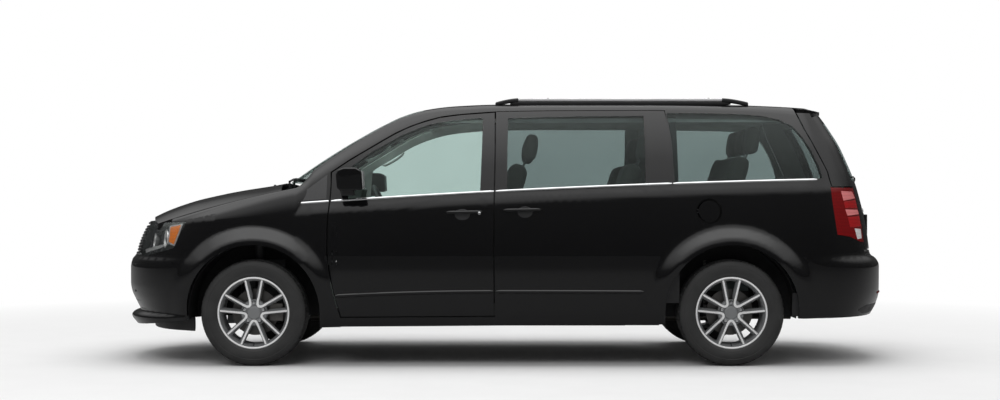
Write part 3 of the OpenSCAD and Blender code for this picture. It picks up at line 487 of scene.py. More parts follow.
def rounded_box(low, high, radius, segments=3):
    """A box between two corners with rounded edges."""
    bm = bmesh.new()
    bmesh.ops.create_cube(bm, size=1)
    low, high = Vector(low), Vector(high)
    for v in bm.verts:
        v.co = Vector(mix(a, b, t + 0.5) for a, b, t in zip(low, high, v.co)) * MM
    bmesh.ops.bevel(bm, geom=bm.edges[:], offset=radius * MM, segments=segments, profile=0.5,
                    affect="EDGES", material=-1, clamp_overlap=True)
    return bm


def flank_spot(x, z, out, side):
    """A point on the flank, moved out along its normal."""
    e = 4
    slope_x = (flank(x + e, z) - flank(x - e, z)) / (2 * e)
    slope_z = (flank(x, z + e) - flank(x, z - e)) / (2 * e)
    n = Vector((-slope_x, 1, -slope_z)).normalized()
    p = Vector((x, flank(x, z), z)) + n * out
    return p.x, p.y * side, p.z


def wrap_spot(z, angle, out, ahead):
    """A point on the nose or tail, moved out along its normal."""
    e = 1.5
    p = Vector(wrap_point(z, angle, ahead))
    a = Vector(wrap_point(z, angle + e, ahead)) - Vector(wrap_point(z, angle - e, ahead))
    b = Vector(wrap_point(z + 6, angle, ahead)) - Vector(wrap_point(z - 6, angle, ahead))
    n = a.cross(b).normalized()
    if n.x * (1 if ahead else -1) < 0 and abs(n.x) > abs(n.y) or n.y * p.y < 0 and abs(n.y) > abs(n.x):
        n = -n
    return p + n * out


def strip_profile(v, half, rise, bury=1.5):
    """Offsets (across, out) round the section of a strip that lies on a panel."""
    a = math.tau * v
    return half * math.cos(a), max(math.sin(a) * rise, -bury)


def flank_strip(x0, x1, centre, half, rise, side, across=40):
    def point(u, v):
        x = mix(x0, x1, u)
        ends = clamp(min(x - min(x0, x1), max(x0, x1) - x) / (2 * half)) ** 0.5
        over, out = strip_profile(v, half * mix(0.55, 1, ends), rise * mix(0.3, 1, ends))
        return flank_spot(x, centre(x) + over, out, side)
    return net(point, across, 12)


def outer_skin(node, forms, size=0.03, snap=0.016):
    """The outer faces of a CAD node alone, refined and laid on its form."""
    bm = cad_copy(node)
    bm.normal_update()
    shapes = [form(f) for f in forms]
    hidden = []
    for face in bm.faces:
        far, _, n = nearest_form(face.calc_center_median(), shapes)
        face.material_index = 0
        if face.normal.dot(n) < 0.8 or far > snap:
            hidden.append(face)
    bmesh.ops.delete(bm, geom=hidden, context="FACES")
    refine(bm, size)
    lay_on(bm, shapes, 0)
    return bm


def lay_on(bm, shapes, out):
    """Moves every vertex to the form, or out from it along its normal, in millimetres."""
    for v in bm.verts:
        _, spot, n = nearest_form(v.co, shapes)
        v.co = spot + n * out * MM


def thickened(bm, shapes, thick):
    """A sheet on a form made a closed shell, its thickness going inwards."""
    made = bmesh.ops.extrude_face_region(bm, geom=bm.faces[:] + bm.edges[:] + bm.verts[:],
                                         use_keep_orig=True)["geom"]
    for v in made:
        if isinstance(v, bmesh.types.BMVert):
            _, spot, n = nearest_form(v.co, shapes)
            v.co = spot - n * thick * MM
    bmesh.ops.recalc_face_normals(bm, faces=bm.faces)
    return bm


def bowl(bm, shapes, depth, rim):
    """A sheet turned into a dish: walls going in from its edge, and a floor at that depth."""
    top = list(bm.faces)
    made = bmesh.ops.extrude_face_region(bm, geom=top)["geom"]
    bmesh.ops.delete(bm, geom=top, context="FACES_ONLY")
    for v in made:
        if isinstance(v, bmesh.types.BMVert):
            _, spot, n = nearest_form(v.co, shapes)
            v.co = spot - n * depth * MM
    lip = [v for v in bm.verts if v not in set(made)]
    for v in lip:
        _, spot, n = nearest_form(v.co, shapes)
        v.co = spot - n * rim * MM
    bmesh.ops.recalc_face_normals(bm, faces=bm.faces)
    return bm


def patch(outline, spot, out, thick, cell=22, edge=1.0):
    """A plate of a flat outline (x, z) bent onto a surface by spot(x, z, out)."""
    bm = bmesh.new()
    bm.faces.new([bm.verts.new((x * MM, 0, z * MM)) for x, z in outline])
    for _ in range(6):
        long = [e for e in bm.edges if e.calc_length() > cell * MM]
        if not long:
            break
        bmesh.ops.subdivide_edges(bm, edges=long, cuts=1)
        bmesh.ops.triangulate(bm, faces=[f for f in bm.faces if len(f.verts) > 3],
                              quad_method="BEAUTY", ngon_method="BEAUTY")
    made = bmesh.ops.extrude_face_region(bm, geom=bm.faces[:] + bm.edges[:] + bm.verts[:],
                                         use_keep_orig=True)["geom"]
    under = {v for v in made if isinstance(v, bmesh.types.BMVert)}
    for v in bm.verts:
        deep = out - thick if v in under else out
        v.co = Vector(spot(v.co.x / MM, v.co.z / MM, deep)) * MM
    bmesh.ops.recalc_face_normals(bm, faces=bm.faces)
    bm.normal_update()
    if edge:
        rim = [e for e in bm.edges if len(e.link_faces) == 2 and e.calc_face_angle(0) > 0.9]
        bmesh.ops.bevel(bm, geom=rim, offset=edge * MM, segments=2, profile=0.5, affect="EDGES",
                        material=-1, clamp_overlap=True)
    return bm


def slab(outline, y0, y1, radius=4, segments=3, plane="xz"):
    """An outline carried from y0 to y1, with rounded edges; plane xy carries it up Z."""
    bm = bmesh.new()
    up = plane == "xy"
    face = bm.faces.new([bm.verts.new((a * MM, b * MM, y0 * MM) if up else (a * MM, y0 * MM, b * MM))
                         for a, b in outline])
    made = bmesh.ops.extrude_face_region(bm, geom=[face] + face.edges[:] + face.verts[:],
                                         use_keep_orig=True)["geom"]
    run = (0, 0, (y1 - y0) * MM) if up else (0, (y1 - y0) * MM, 0)
    bmesh.ops.translate(bm, vec=run, verts=[v for v in made if isinstance(v, bmesh.types.BMVert)])
    bmesh.ops.recalc_face_normals(bm, faces=bm.faces)
    if radius:
        bmesh.ops.bevel(bm, geom=bm.edges[:], offset=radius * MM, segments=segments, profile=0.5,
                        affect="EDGES", material=-1, clamp_overlap=True)
    return bm


def rod(points, radius, around=12):
    """A round bar through points, its radius one number or one for each point."""
    pts = [Vector(p) for p in points]
    radii = radius if isinstance(radius, (list, tuple)) else [radius] * len(pts)
    last = len(pts) - 1

    def point(u, v):
        k = min(last, int(round(u * last)))
        run = (pts[min(last, k + 1)] - pts[max(0, k - 1)]).normalized()
        side = run.orthogonal() if abs(run.y) > 0.9 else run.cross(Vector((0, 1, 0)))
        side.normalize()
        a = math.tau * v
        return pts[k] + (side * math.cos(a) + run.cross(side) * math.sin(a)) * radii[k]
    return net(point, last, around)


def mirrored(bm, sign):
    """The same shape on the right side when sign is -1."""
    return moved(bm, Matrix.Diagonal((1, sign, 1, 1))) if sign < 0 else bm


def dress(material, *nodes):
    """Gives carried-over CAD nodes their material."""
    for node in nodes:
        mesh = frame["nodes"][node].data
        mesh.materials.clear()
        mesh.materials.append(material)
        for face in mesh.polygons:
            face.material_index = 0


# ---- node materials ----

def new_material(name, **sockets):
    """A material with one Principled shader and its plain values."""
    material = bpy.data.materials.new(name)
    material.use_nodes = True
    shader = material.node_tree.nodes["Principled BSDF"]
    for key, value in sockets.items():
        shader.inputs[key.replace("_", " ")].default_value = value
    return material, material.node_tree, shader


def add_node(tree, kind, inputs=None, **settings):
    node = tree.nodes.new(kind)
    for key, value in settings.items():
        setattr(node, key, value)
    for key, value in (inputs or {}).items():
        if isinstance(value, bpy.types.NodeSocket):
            tree.links.new(value, node.inputs[key])
        else:
            node.inputs[key].default_value = value
    return node


def place_of(tree, scale=(1, 1, 1), shift=(0, 0, 0)):
    """Object coordinates through a Mapping node."""
    coords = add_node(tree, "ShaderNodeTexCoord")
    return add_node(tree, "ShaderNodeMapping", {"Vector": coords.outputs["Object"], "Scale": scale,
                                                "Location": shift}).outputs["Vector"]


def noise_of(tree, place, scale, detail=3.0, rough=0.5):
    return add_node(tree, "ShaderNodeTexNoise", {"Vector": place, "Scale": scale, "Detail": detail,
                                                 "Roughness": rough}).outputs["Fac"]


def ramp_of(tree, fac, *stops):
    """A colour ramp of (place, value) stops; a value may be a grey or a colour."""
    node = add_node(tree, "ShaderNodeValToRGB", {"Fac": fac})
    ramp = node.color_ramp
    while len(ramp.elements) < len(stops):
        ramp.elements.new(0.5)
    for element, (place, value) in zip(ramp.elements, stops):
        element.position = place
        element.color = (value, value, value, 1) if isinstance(value, (int, float)) else (*value[:3], 1)
    return node.outputs["Color"]


def bump_from(tree, shader, height, strength, distance):
    bump = add_node(tree, "ShaderNodeBump", {"Height": height, "Strength": strength,
                                             "Distance": distance})
    tree.links.new(bump.outputs["Normal"], shader.inputs["Normal"])


def shade(colour, factor):
    return tuple(c * factor for c in colour[:3])


def paint_material(colour):
    """Gloss paint: a fine flake in the base, a little orange peel, and a clear coat."""
    material, tree, shader = new_material("gloss_paint", Roughness=0.16, Coat_Weight=1.0,
                                          Coat_Roughness=0.015, Coat_IOR=1.45,
                                          Specular_IOR_Level=0.1)
    place = place_of(tree)
    flake = add_node(tree, "ShaderNodeTexVoronoi", {"Vector": place, "Scale": 900.0})
    cloud = noise_of(tree, place, 1.3, 2.0)
    base = ramp_of(tree, flake.outputs["Distance"], (0.0, shade(colour, 2.2)), (0.35, colour))
    deep = add_node(tree, "ShaderNodeMix", {"Factor": ramp_of(tree, cloud, (0.35, 0.0), (0.7, 0.35)),
                                            "A": base, "B": (*shade(colour, 0.55), 1)},
                    data_type="RGBA")
    tree.links.new(deep.outputs["Result"], shader.inputs["Base Color"])
    bump_from(tree, shader, noise_of(tree, place, 260, 2.0), 0.012, 0.0004)
    return material


def plain_material(name, colour, rough, grain=600, depth=0.12, spread=0.25, **sockets):
    """Moulded plastic or rubber: pored grain and a slow change of tone."""
    material, tree, shader = new_material(name, **sockets)
    place = place_of(tree)
    slow = noise_of(tree, place, 5, 4.0)
    tone = ramp_of(tree, slow, (0.25, shade(colour, 1 - spread)), (0.75, shade(colour, 1 + spread)))
    tree.links.new(tone, shader.inputs["Base Color"])
    wear = ramp_of(tree, noise_of(tree, place, 22, 5.0), (0.3, max(0.02, rough - 0.08)),
                   (0.75, min(1, rough + 0.08)))
    tree.links.new(wear, shader.inputs["Roughness"])
    bump_from(tree, shader, noise_of(tree, place, grain, 3.0), depth, 0.0008)
    return material


def metal_material(name, colour, rough, brushed=(1, 1, 1), depth=0.05, grain=500, metallic=1.0):
    material, tree, shader = new_material(name, Metallic=metallic)
    place = place_of(tree, brushed)
    slow = noise_of(tree, place_of(tree), 6, 3.0)
    tone = ramp_of(tree, slow, (0.3, shade(colour, 0.85)), (0.7, colour))
    tree.links.new(tone, shader.inputs["Base Color"])
    fine = noise_of(tree, place, grain, 3.0)
    tree.links.new(ramp_of(tree, fine, (0.25, max(0.02, rough - 0.06)), (0.8, rough + 0.08)),
                   shader.inputs["Roughness"])
    bump_from(tree, shader, fine, depth, 0.0003)
    return material


def glass_material(name, tint, gloss=0.5):
    """Thin tinted glass: light goes straight through, and the surface mirrors at a glance."""
    material = bpy.data.materials.new(name)
    material.use_nodes = True
    tree = material.node_tree
    tree.nodes.remove(tree.nodes["Principled BSDF"])
    place = place_of(tree)
    smear = ramp_of(tree, noise_of(tree, place, 2.0, 3.0), (0.3, shade(tint, 0.97)), (0.7, tint))
    through = add_node(tree, "ShaderNodeBsdfTransparent", {"Color": smear})
    mirror = add_node(tree, "ShaderNodeBsdfGlossy", {"Color": (0.9, 0.95, 0.93, 1), "Roughness": 0.01})
    facing = add_node(tree, "ShaderNodeFresnel", {"IOR": 1.45})
    share = add_node(tree, "ShaderNodeMath", {0: facing.outputs["Fac"], 1: gloss},
                     operation="MULTIPLY")
    both = add_node(tree, "ShaderNodeMixShader", {0: share.outputs[0]})
    tree.links.new(through.outputs[0], both.inputs[1])
    tree.links.new(mirror.outputs[0], both.inputs[2])
    tree.links.new(both.outputs[0], tree.nodes["Material Output"].inputs["Surface"])
    return material


def cloth_material(name, colour):
    """Woven seat cloth: a fine over-and-under weave with flecks and a soft sheen."""
    material, tree, shader = new_material(name, Roughness=0.95, Sheen_Weight=0.25,
                                          Sheen_Roughness=0.5)
    place = place_of(tree)
    warp = add_node(tree, "ShaderNodeTexWave", {"Vector": place, "Scale": 140.0, "Distortion": 0.6},
                    bands_direction="X")
    weft = add_node(tree, "ShaderNodeTexWave", {"Vector": place, "Scale": 140.0, "Distortion": 0.6},
                    bands_direction="Z")
    weave = add_node(tree, "ShaderNodeMath", {0: warp.outputs["Fac"], 1: weft.outputs["Fac"]},
                     operation="MULTIPLY").outputs[0]
    fleck = noise_of(tree, place, 180, 4.0)
    tone = ramp_of(tree, fleck, (0.35, shade(colour, 0.75)), (0.65, shade(colour, 1.2)))
    tree.links.new(tone, shader.inputs["Base Color"])
    bump_from(tree, shader, weave, 0.35, 0.0008)
    return material


def rubber_material(colour):
    """Tyre rubber: patches of dust make it greyer and duller, with a fine grain."""
    material, tree, shader = new_material("tyre_rubber")
    place = place_of(tree)
    dust = noise_of(tree, place, 9, 6.0, 0.6)
    tone = ramp_of(tree, dust, (0.3, shade(colour, 0.75)), (0.75, shade(colour, 1.35)))
    tree.links.new(tone, shader.inputs["Base Color"])
    tree.links.new(ramp_of(tree, dust, (0.3, 0.5), (0.8, 0.72)), shader.inputs["Roughness"])
    bump_from(tree, shader, noise_of(tree, place, 420, 4.0), 0.25, 0.0008)
    return material


MATERIALS = {}


def finish(name):
    """The finishes by name, each made the first time it is asked for."""
    look = bpy.context.scene.minivan_finishes
    makers = {
        "paint": lambda: paint_material(look.paint),
        "trim": lambda: plain_material("satin_black_trim", look.trim, 0.42),
        "gloss_black": lambda: plain_material("gloss_black", look.trim, 0.09, depth=0.01,
                                              Coat_Weight=0.6),
        "clear_glass": lambda: glass_material("clear_glass", look.clear_glass),
        "privacy_glass": lambda: glass_material("privacy_glass", look.privacy_glass),
        "lens": lambda: glass_material("clear_lens", (0.99, 0.99, 0.99), 0.35),
        "chrome": lambda: metal_material("bright_chrome", (0.86, 0.87, 0.88), 0.1, depth=0.004),
        "alloy": lambda: metal_material("silver_alloy", look.alloy, 0.36, depth=0.02,
                                        metallic=0.45),
        "machined": lambda: metal_material("machined_alloy", (0.95, 0.95, 0.95), 0.3, depth=0.03,
                                           grain=900, metallic=0.3),
        "rubber": lambda: rubber_material(look.rubber),
        "iron": lambda: metal_material("cast_iron", (0.25, 0.24, 0.23), 0.5, depth=0.4, grain=140),
        "disc": lambda: metal_material("brake_disc", (0.16, 0.155, 0.15), 0.38, depth=0.12),
        "steel": lambda: plain_material("black_steel", (0.03, 0.031, 0.033), 0.55, grain=120,
                                        depth=0.35),
        "exhaust": lambda: metal_material("exhaust_steel", (0.34, 0.32, 0.3), 0.45, depth=0.25,
                                          grain=90),
        "engine": lambda: metal_material("engine_metal", (0.3, 0.31, 0.32), 0.55, depth=0.4,
                                         grain=60),
        "liner": lambda: plain_material("arch_liner", (0.012, 0.012, 0.013), 0.85, grain=160,
                                        depth=0.6),
        "cabin": lambda: plain_material("cabin_plastic", look.cabin, 0.6, grain=420, depth=0.3),
        "dash": lambda: plain_material("dash_skin", shade(look.cabin, 0.35), 0.55, grain=420,
                                       depth=0.35),
        "headliner": lambda: plain_material("headliner_felt", shade(look.cabin, 1.25), 0.95,
                                            grain=260, depth=0.4),
        "cloth": lambda: cloth_material("seat_cloth", look.cloth),
        "leather": lambda: plain_material("wheel_leather", (0.02, 0.02, 0.021), 0.45, grain=300,
                                          depth=0.4),
        "red_lens": lambda: lamp_material("red_lens", (0.2, 0.003, 0.004)),
        "bright_red_lens": lambda: lamp_material("bright_red_lens", (0.42, 0.012, 0.014)),
        "pink_lens": lambda: lamp_material("pink_lens", (0.85, 0.26, 0.26)),
        "white_lens": lambda: lamp_material("white_lens", (0.82, 0.82, 0.82)),
        "amber": lambda: lamp_material("amber_lens", (1.0, 0.25, 0.003)),
        "reflector": lambda: metal_material("lamp_reflector", (0.9, 0.9, 0.9), 0.12, depth=0.002,
                                            metallic=0.6),
        "lamp_black": lambda: plain_material("lamp_housing", (0.05, 0.052, 0.055), 0.25, depth=0.02),
        "rail": lambda: metal_material("rail_metal", (0.8, 0.8, 0.81), 0.24, depth=0.02,
                                       metallic=0.35),
    }
    if name not in MATERIALS:
        MATERIALS[name] = makers[name]()
    return MATERIALS[name]


def lamp_material(name, colour):
    """Coloured lamp plastic with fine ribs moulded inside it, its colour painted darker in the rib troughs
    and lighter on the crests: painted shade and highlight.
    """
    material, tree, shader = new_material(name, Roughness=0.12, Coat_Weight=0.25,
                                          Coat_Roughness=0.02, Specular_IOR_Level=0.3)
    place = place_of(tree)
    ribs = add_node(tree, "ShaderNodeTexWave", {"Vector": place, "Scale": 34.0, "Distortion": 0.2},
                    bands_direction="Z")
    # painted shade and highlight: the rib troughs are coloured darker and the crests lighter
    tone = ramp_of(tree, ribs.outputs["Fac"], (0.2, shade(colour, 0.7)), (0.8, shade(colour, 1.15)))
    tree.links.new(tone, shader.inputs["Base Color"])
    bump_from(tree, shader, ribs.outputs["Fac"], 0.15, 0.001)
    return material


# ---- sizes and colours a user may change ----

class MinivanSizes(PropertyGroup):
    """Sizes of the trim and fittings."""

    strip_height: FloatProperty(name="Belt strip height", description="Height of the bright strip",
                                default=0.014, min=0.006, max=0.03, unit="LENGTH")
    moulding_height: FloatProperty(name="Side moulding height",
                                   description="Height of the moulding along the doors",
                                   default=0.026, min=0.01, max=0.06, unit="LENGTH")
    handle_thickness: FloatProperty(name="Handle thickness",
                                    description="Thickness of a door handle grip",
                                    default=0.017, min=0.01, max=0.03, unit="LENGTH")
    spoke_ridge: FloatProperty(name="Spoke ridge", description="Width of the machined spoke ridge",
                               default=0.010, min=0.004, max=0.02, unit="LENGTH")
    tread_depth: FloatProperty(name="Tread depth", description="Depth of the tyre grooves",
                               default=0.007, min=0.002, max=0.012, unit="LENGTH")
    grille_bars: IntProperty(name="Grille bars", description="Number of bars across the grille",
                             default=9, min=3, max=12)
    camera_distance: FloatProperty(name="Camera distance",
                                   description="Distance of the camera from the centre line",
                                   default=11.4, min=6, max=30, unit="LENGTH")
    camera_height: FloatProperty(name="Camera height", description="Height of the camera",
                                 default=1.07, min=0.3, max=3, unit="LENGTH")


def colour_property(name, text, value):
    return FloatVectorProperty(name=name, description=text, default=value, min=0, max=1, size=3,
                               subtype="COLOR")


class MinivanFinishes(PropertyGroup):
    """Colours of the finishes."""

    paint: colour_property("Paint", "Body colour", (0.0032, 0.0032, 0.0036))
    trim: colour_property("Trim", "Colour of black plastic and rubber trim", (0.014, 0.014, 0.015))
    clear_glass: colour_property("Clear glass", "Tint of the front glass", (0.8, 0.86, 0.845))
    privacy_glass: colour_property("Privacy glass", "Tint of the dark rear glass", (0.61, 0.66, 0.655))
    alloy: colour_property("Alloy", "Colour of the painted part of the wheels", (0.27, 0.275, 0.28))
    rubber: colour_property("Rubber", "Colour of the tyres", (0.022, 0.022, 0.022))
    cloth: colour_property("Seat cloth", "Colour of the seats", (0.22, 0.215, 0.2))
    cabin: colour_property("Cabin", "Colour of the cabin plastic", (0.62, 0.62, 0.6))


# ---- pieces ----

class PieceOperator:
    """What every piece's operator shares."""

    bl_options = {"REGISTER", "UNDO"}

    def execute(self, context):
        self.build(context.scene.minivan_sizes)
        return {"FINISHED"}


class MINIVAN_OT_paintwork(PieceOperator, Operator):
    """Body sides, doors, roof, hood, wings, bumpers and liftgate in gloss paint"""

    bl_idname = "minivan.paintwork"
    bl_label = "Paintwork"

    def build(self, sizes):
        paint, lining = finish("paint"), finish("cabin")
        ends = {"left": ["left", "roof", "tail"], "right": ["right", "roof", "tail"]}
        for side in SIDES:
            panel(f"body_side_skin_{side}", f"body_side_{side}", ends[side], paint, lining,
                  size=0.02)
            panel(f"front_door_skin_{side}", f"front_door_{side}", [side], paint, lining,
                  carve=self.sink_lugs)
            panel(f"sliding_door_skin_{side}", f"sliding_door_{side}", [side], paint, lining)
        both = ["left", "right"]
        panel("roof_skin", "roof", ["roof"], paint, finish("headliner"))
        panel("wing_skins", "fenders", both + ["nose"], paint, finish("liner"), size=0.018)
        panel("hood_skin", "hood", ["hood"], paint, finish("liner"))
        panel("front_bumper_skin", "front_bumper", ["nose"], paint, finish("liner"),
              carve=self.bumper_lines)
        panel("rear_bumper_skin", "rear_bumper", ["tail"], paint, finish("liner"))
        panel("liftgate_skin", "liftgate", ["tail"], paint, lining)
        panel("fuel_door_skin", "fuel_door", ["left"], paint, finish("steel"), snap=0.004)
        panel("spoiler_skin", "rear_spoiler", ["roof"], paint, paint)

    @staticmethod
    def sink_lugs(bm):
        """Keeps the hinge lugs under the covers."""
        for v in bm.verts:
            x, z = v.co.x / MM, v.co.z / MM
            if x > 1060 and (675 < z < 725 or 855 < z < 905):
                deepest = (flank(x, z) - 6) * MM
                if abs(v.co.y) > deepest:
                    v.co.y = math.copysign(deepest, v.co.y)

    @staticmethod
    def bumper_lines(bm):
        """Cuts the lower edge, which rises to the wheels, and the edges of the two air openings."""
        whole = bm.verts[:] + bm.edges[:] + bm.faces[:]
        bmesh.ops.bisect_plane(bm, geom=whole, plane_co=(2.5, 0, 0.236), plane_no=(0.13, 0, 1),
                               clear_inner=True)
        bmesh.ops.holes_fill(bm, edges=[e for e in bm.edges if e.is_boundary], sides=0)
        for z in (0.350, 0.480, 0.566, 0.656):
            whole = bm.verts[:] + bm.edges[:] + bm.faces[:]
            bmesh.ops.bisect_plane(bm, geom=whole, plane_co=(0, 0, z), plane_no=(0, 0, 1))
        for y in (-0.62, 0.62):
            whole = bm.verts[:] + bm.edges[:] + bm.faces[:]
            bmesh.ops.bisect_plane(bm, geom=whole, plane_co=(0, y, 0), plane_no=(0, 1, 0))


class MINIVAN_OT_glazing(PieceOperator, Operator):
    """Clear front glass and dark rear glass"""

    bl_idname = "minivan.glazing"
    bl_label = "Glazing"

    def build(self, sizes):
        clear, dark = finish("clear_glass"), finish("privacy_glass")
        for side in SIDES:
            panel(f"front_door_pane_{side}", f"front_door_glass_{side}", [side], clear, clear)
        both = ["left", "right"]
        panel("windshield_pane", "windshield", ["roof"], clear, clear)
        panel("sliding_door_panes", "sliding_door_glass", both, dark, dark)
        panel("quarter_panes", "quarter_glass", both, dark, dark)
        panel("rear_pane", "rear_glass", ["tail"], dark, dark)


STRIP_RUNS = [("wing", 1340, 1126, "body"), ("front_door", 1112, 66, "front_door_{side}"),
              ("sliding_door", 54, -1078, "body"), ("rear_quarter", -1086, -2018, "body")]
MOULDING_RUNS = [("front_door", 1086, 70, "front_door_{side}"), ("sliding_door", 54, -892, "body")]


def moulding_z(x):
    return 483 - 1.5e-5 * max(0, x - 27) ** 2 * 1.7 - 3e-6 * min(0, x - 27) ** 2


class MINIVAN_OT_side_trim(PieceOperator, Operator):
    """Bright strips under the windows and mouldings along the doors"""

    bl_idname = "minivan.side_trim"
    bl_label = "Side trim"

    def build(self, sizes):
        for side, sign in SIDES.items():
            for name, x0, x1, body in STRIP_RUNS:
                bm = flank_strip(x0, x1, belt, sizes.strip_height / MM / 2, 4, sign)
                finish_mesh(f"belt_strip_{name}_{side}", bm, [finish("chrome")],
                            body.format(side=side), 60)
            for name, x0, x1, body in MOULDING_RUNS:
                bm = flank_strip(x0, x1, moulding_z, sizes.moulding_height / MM / 2, 12, sign)
                finish_mesh(f"side_moulding_{name}_{side}", bm, [finish("paint")],
                            body.format(side=side), 60)


HANDLES = [("front_door", 375, 137, 991, 268, 976, "front_door_{side}"),
           ("sliding_door", 8, -237, 1005, -134, 992, "body")]


class MINIVAN_OT_door_handles(PieceOperator, Operator):
    """Grip handles over round cups, with a lock barrel on the front doors"""

    bl_idname = "minivan.door_handles"
    bl_label = "Door handles"

    def build(self, sizes):
        thick = sizes.handle_thickness / MM
        for side, sign in SIDES.items():
            for name, x0, x1, z, cup_x, cup_z, body in HANDLES:
                rides = body.format(side=side)
                finish_mesh(f"handle_grip_{name}_{side}", self.grip(x0, x1, z, thick, sign),
                            [finish("paint")], rides, 60)
                finish_mesh(f"handle_cup_{name}_{side}", self.cup(cup_x, cup_z, sign),
                            [finish("trim")], rides, 60)
            lock = net(lambda u, v: flank_spot(159 + 9 * math.cos(math.tau * v) * math.sin(u * 1.57),
                                               984 + 9 * math.sin(math.tau * v) * math.sin(u * 1.57),
                                               30 + 2 * math.cos(u * 1.57), sign), 6, 20, True, True)
            finish_mesh(f"door_lock_{side}", lock, [finish("chrome")], f"front_door_{side}",
                        60)

    @staticmethod
    def grip(x0, x1, z, thick, sign):
        def point(u, v):
            a, reach = math.tau * v, math.sin(math.pi * u)
            out = 6 + 18 * min(1, 2.2 * reach)
            half = thick / 2 * (0.7 + 0.3 * min(1, 3 * reach)) * (0.15 + 0.85 * min(1, 12 * reach))
            return flank_spot(mix(x0, x1, u), z + half * 1.15 * math.sin(a) + 4 * (u - 0.5),
                              out + half * 0.75 * math.cos(a), sign)
        return net(point, 36, 16)

    @staticmethod
    def cup(x, z, sign):
        def point(u, v):
            a, r = math.tau * v, u
            return flank_spot(x + 49 * r * math.cos(a), z + 36 * r * math.sin(a),
                              1.6 - 1.2 * (1 - r) - 1.4 * max(0, r - 0.9) * 10, sign)
        return net(point, 14, 36, True, True)


class MINIVAN_OT_wheels(PieceOperator, Operator):
    """Alloy wheels with five pairs of spokes, tyres with tread, and brake discs"""

    bl_idname = "minivan.wheels"
    bl_label = "Wheels"

    def build(self, sizes):
        for end, cx in (("front", FRONT_X), ("rear", REAR_X)):
            for side, sign in SIDES.items():
                body = f"wheel_{end}_{side}"
                place = (Matrix.Translation(Vector((cx, sign * 825, AXLE_Z)) * MM)
                         @ Matrix(((1, 0, 0, 0), (0, 0, sign, 0), (0, 1, 0, 0), (0, 0, 0, 1))))
                finish_mesh(f"alloy_{end}_{side}", moved(alloy(sizes), place),
                            [finish("alloy"), finish("machined"), finish("steel"), finish("chrome")],
                            body, 32, [f"rim_{end}_{side}"])
                finish_mesh(f"tyre_{end}_{side}_tread", moved(tyre(sizes), place),
                            [finish("rubber")], body, 28, [f"tyre_{end}_{side}"])
                frame["nodes"][f"disc_{end}_{side}"].data.materials.clear()
                frame["nodes"][f"disc_{end}_{side}"].data.materials.append(finish("disc"))


RIM_R = 232
RIM_W = 100.5
GAP_HALF = math.radians(21.4)


def alloy(sizes):
    """One alloy wheel about the origin, its face up the Z axis and a pair of spokes on +Y."""
    barrel = turned([(206, -88), (214, -96), (232, -100.5), (232, -90), (216, -84), (212, 60),
                     (232, 90), (232, 100.5), (228, 101), (220, 100), (206, 78), (203, 40),
                     (203, -70), (206, -88)])
    lip = painted(turned([(232, 100), (229, 102), (224, 102), (220.5, 100), (224, 97), (232, 100)]), 1)
    hub = turned([(0, 50), (84, 52), (86, 62), (80, 70), (64, 72), (52, 74), (46, 70), (0, 69)], 72)
    cap = turned([(0, 80), (30, 79.5), (40, 77), (43.5, 73), (43.5, 66), (0, 66)], 60)
    parts = [barrel, lip, hub, cap]
    for i in range(5):
        turn = Matrix.Rotation(math.radians(72 * i + 90 + 36), 4, "Z")
        parts.append(moved(spoke_vee(sizes.spoke_ridge / MM), turn))
        stud = Matrix.Rotation(math.radians(72 * i + 90), 4, "Z") @ Matrix.Translation((0.0635, 0, 0))
        pocket = painted(turned([(0, 71.2), (13.5, 71.4), (15, 73), (14, 69)], 24), 2)
        parts.append(moved(pocket, stud))
        nut = bmesh.new()
        bmesh.ops.create_cone(nut, cap_ends=True, segments=6, radius1=0.0105, radius2=0.0095, depth=0.016)
        bmesh.ops.bevel(nut, geom=nut.edges[:], offset=0.0012, segments=2, profile=0.5,
                        affect="EDGES", material=-1)
        parts.append(painted(moved(nut, stud @ Matrix.Translation((0, 0, 0.078))), 3))
    valve = painted(turned([(0, 0), (4.5, 0), (4, 20), (2.5, 34), (0, 34)], 16), 2)
    parts.append(moved(valve, Matrix.Translation((0, -0.196, 0.062)) @ Matrix.Rotation(0.5, 4, "X")))
    return joined(parts)


def spoke_vee(ridge):
    """The two spokes on either side of a wide gap, about +X, as one ridge that turns at the hub."""
    path = [(218, 85.5), (190, 74.0), (160, 60.5), (130, 47.0), (100, 33.5), (80, 24.0), (68, 17.5),
            (60, 11.5), (56, 5.5), (54.5, 0)]
    path += [(x, -y) for x, y in reversed(path[:-1])]
    # offsets from the ridge: towards the gap, and how far under the ridge top
    section = [(0.0, 0), (1, 0.6), (5, 9), (8, 30), (-17, 32), (-15, 24), (-8, 9), (-1.2, 0.8)]
    last = len(path) - 1

    def point(u, v):
        k = min(last - 1, int(u * last))
        t = u * last - k
        x, y = (mix(a, b, t) for a, b in zip(path[k], path[k + 1]))
        before, after = path[max(0, k)], path[min(last, k + 1)]
        run = Vector((after[0] - before[0], after[1] - before[1])).normalized()
        gap = Vector((-run.y, run.x))
        if gap.x * 1 + 0 < 0 and abs(y) < 3:
            gap = -gap
        inward = Vector((1, 0)) if abs(y) < 3 else Vector((gap.x, gap.y))
        if inward.y * y > 0:
            inward = -inward
        r = math.hypot(x, y)
        top = 76 + 18 * clamp((r - 60) / 150) ** 1.4
        index = v * len(section)
        i = int(round(index)) % len(section)
        over, under = section[i]
        half = ridge / 2
        over = over + half if over > 0 or i == 0 else over - half
        fade = clamp((r - 52) / 60)
        if over < -half:
            over = mix(-half - 6, over, fade)
        return x + inward.x * over, y + inward.y * over, top - under
    bm = net(point, last * 2, len(section), True, True)
    for face in bm.faces:
        face.material_index = 1 if face.normal.z > 0.93 else 0
    return bm


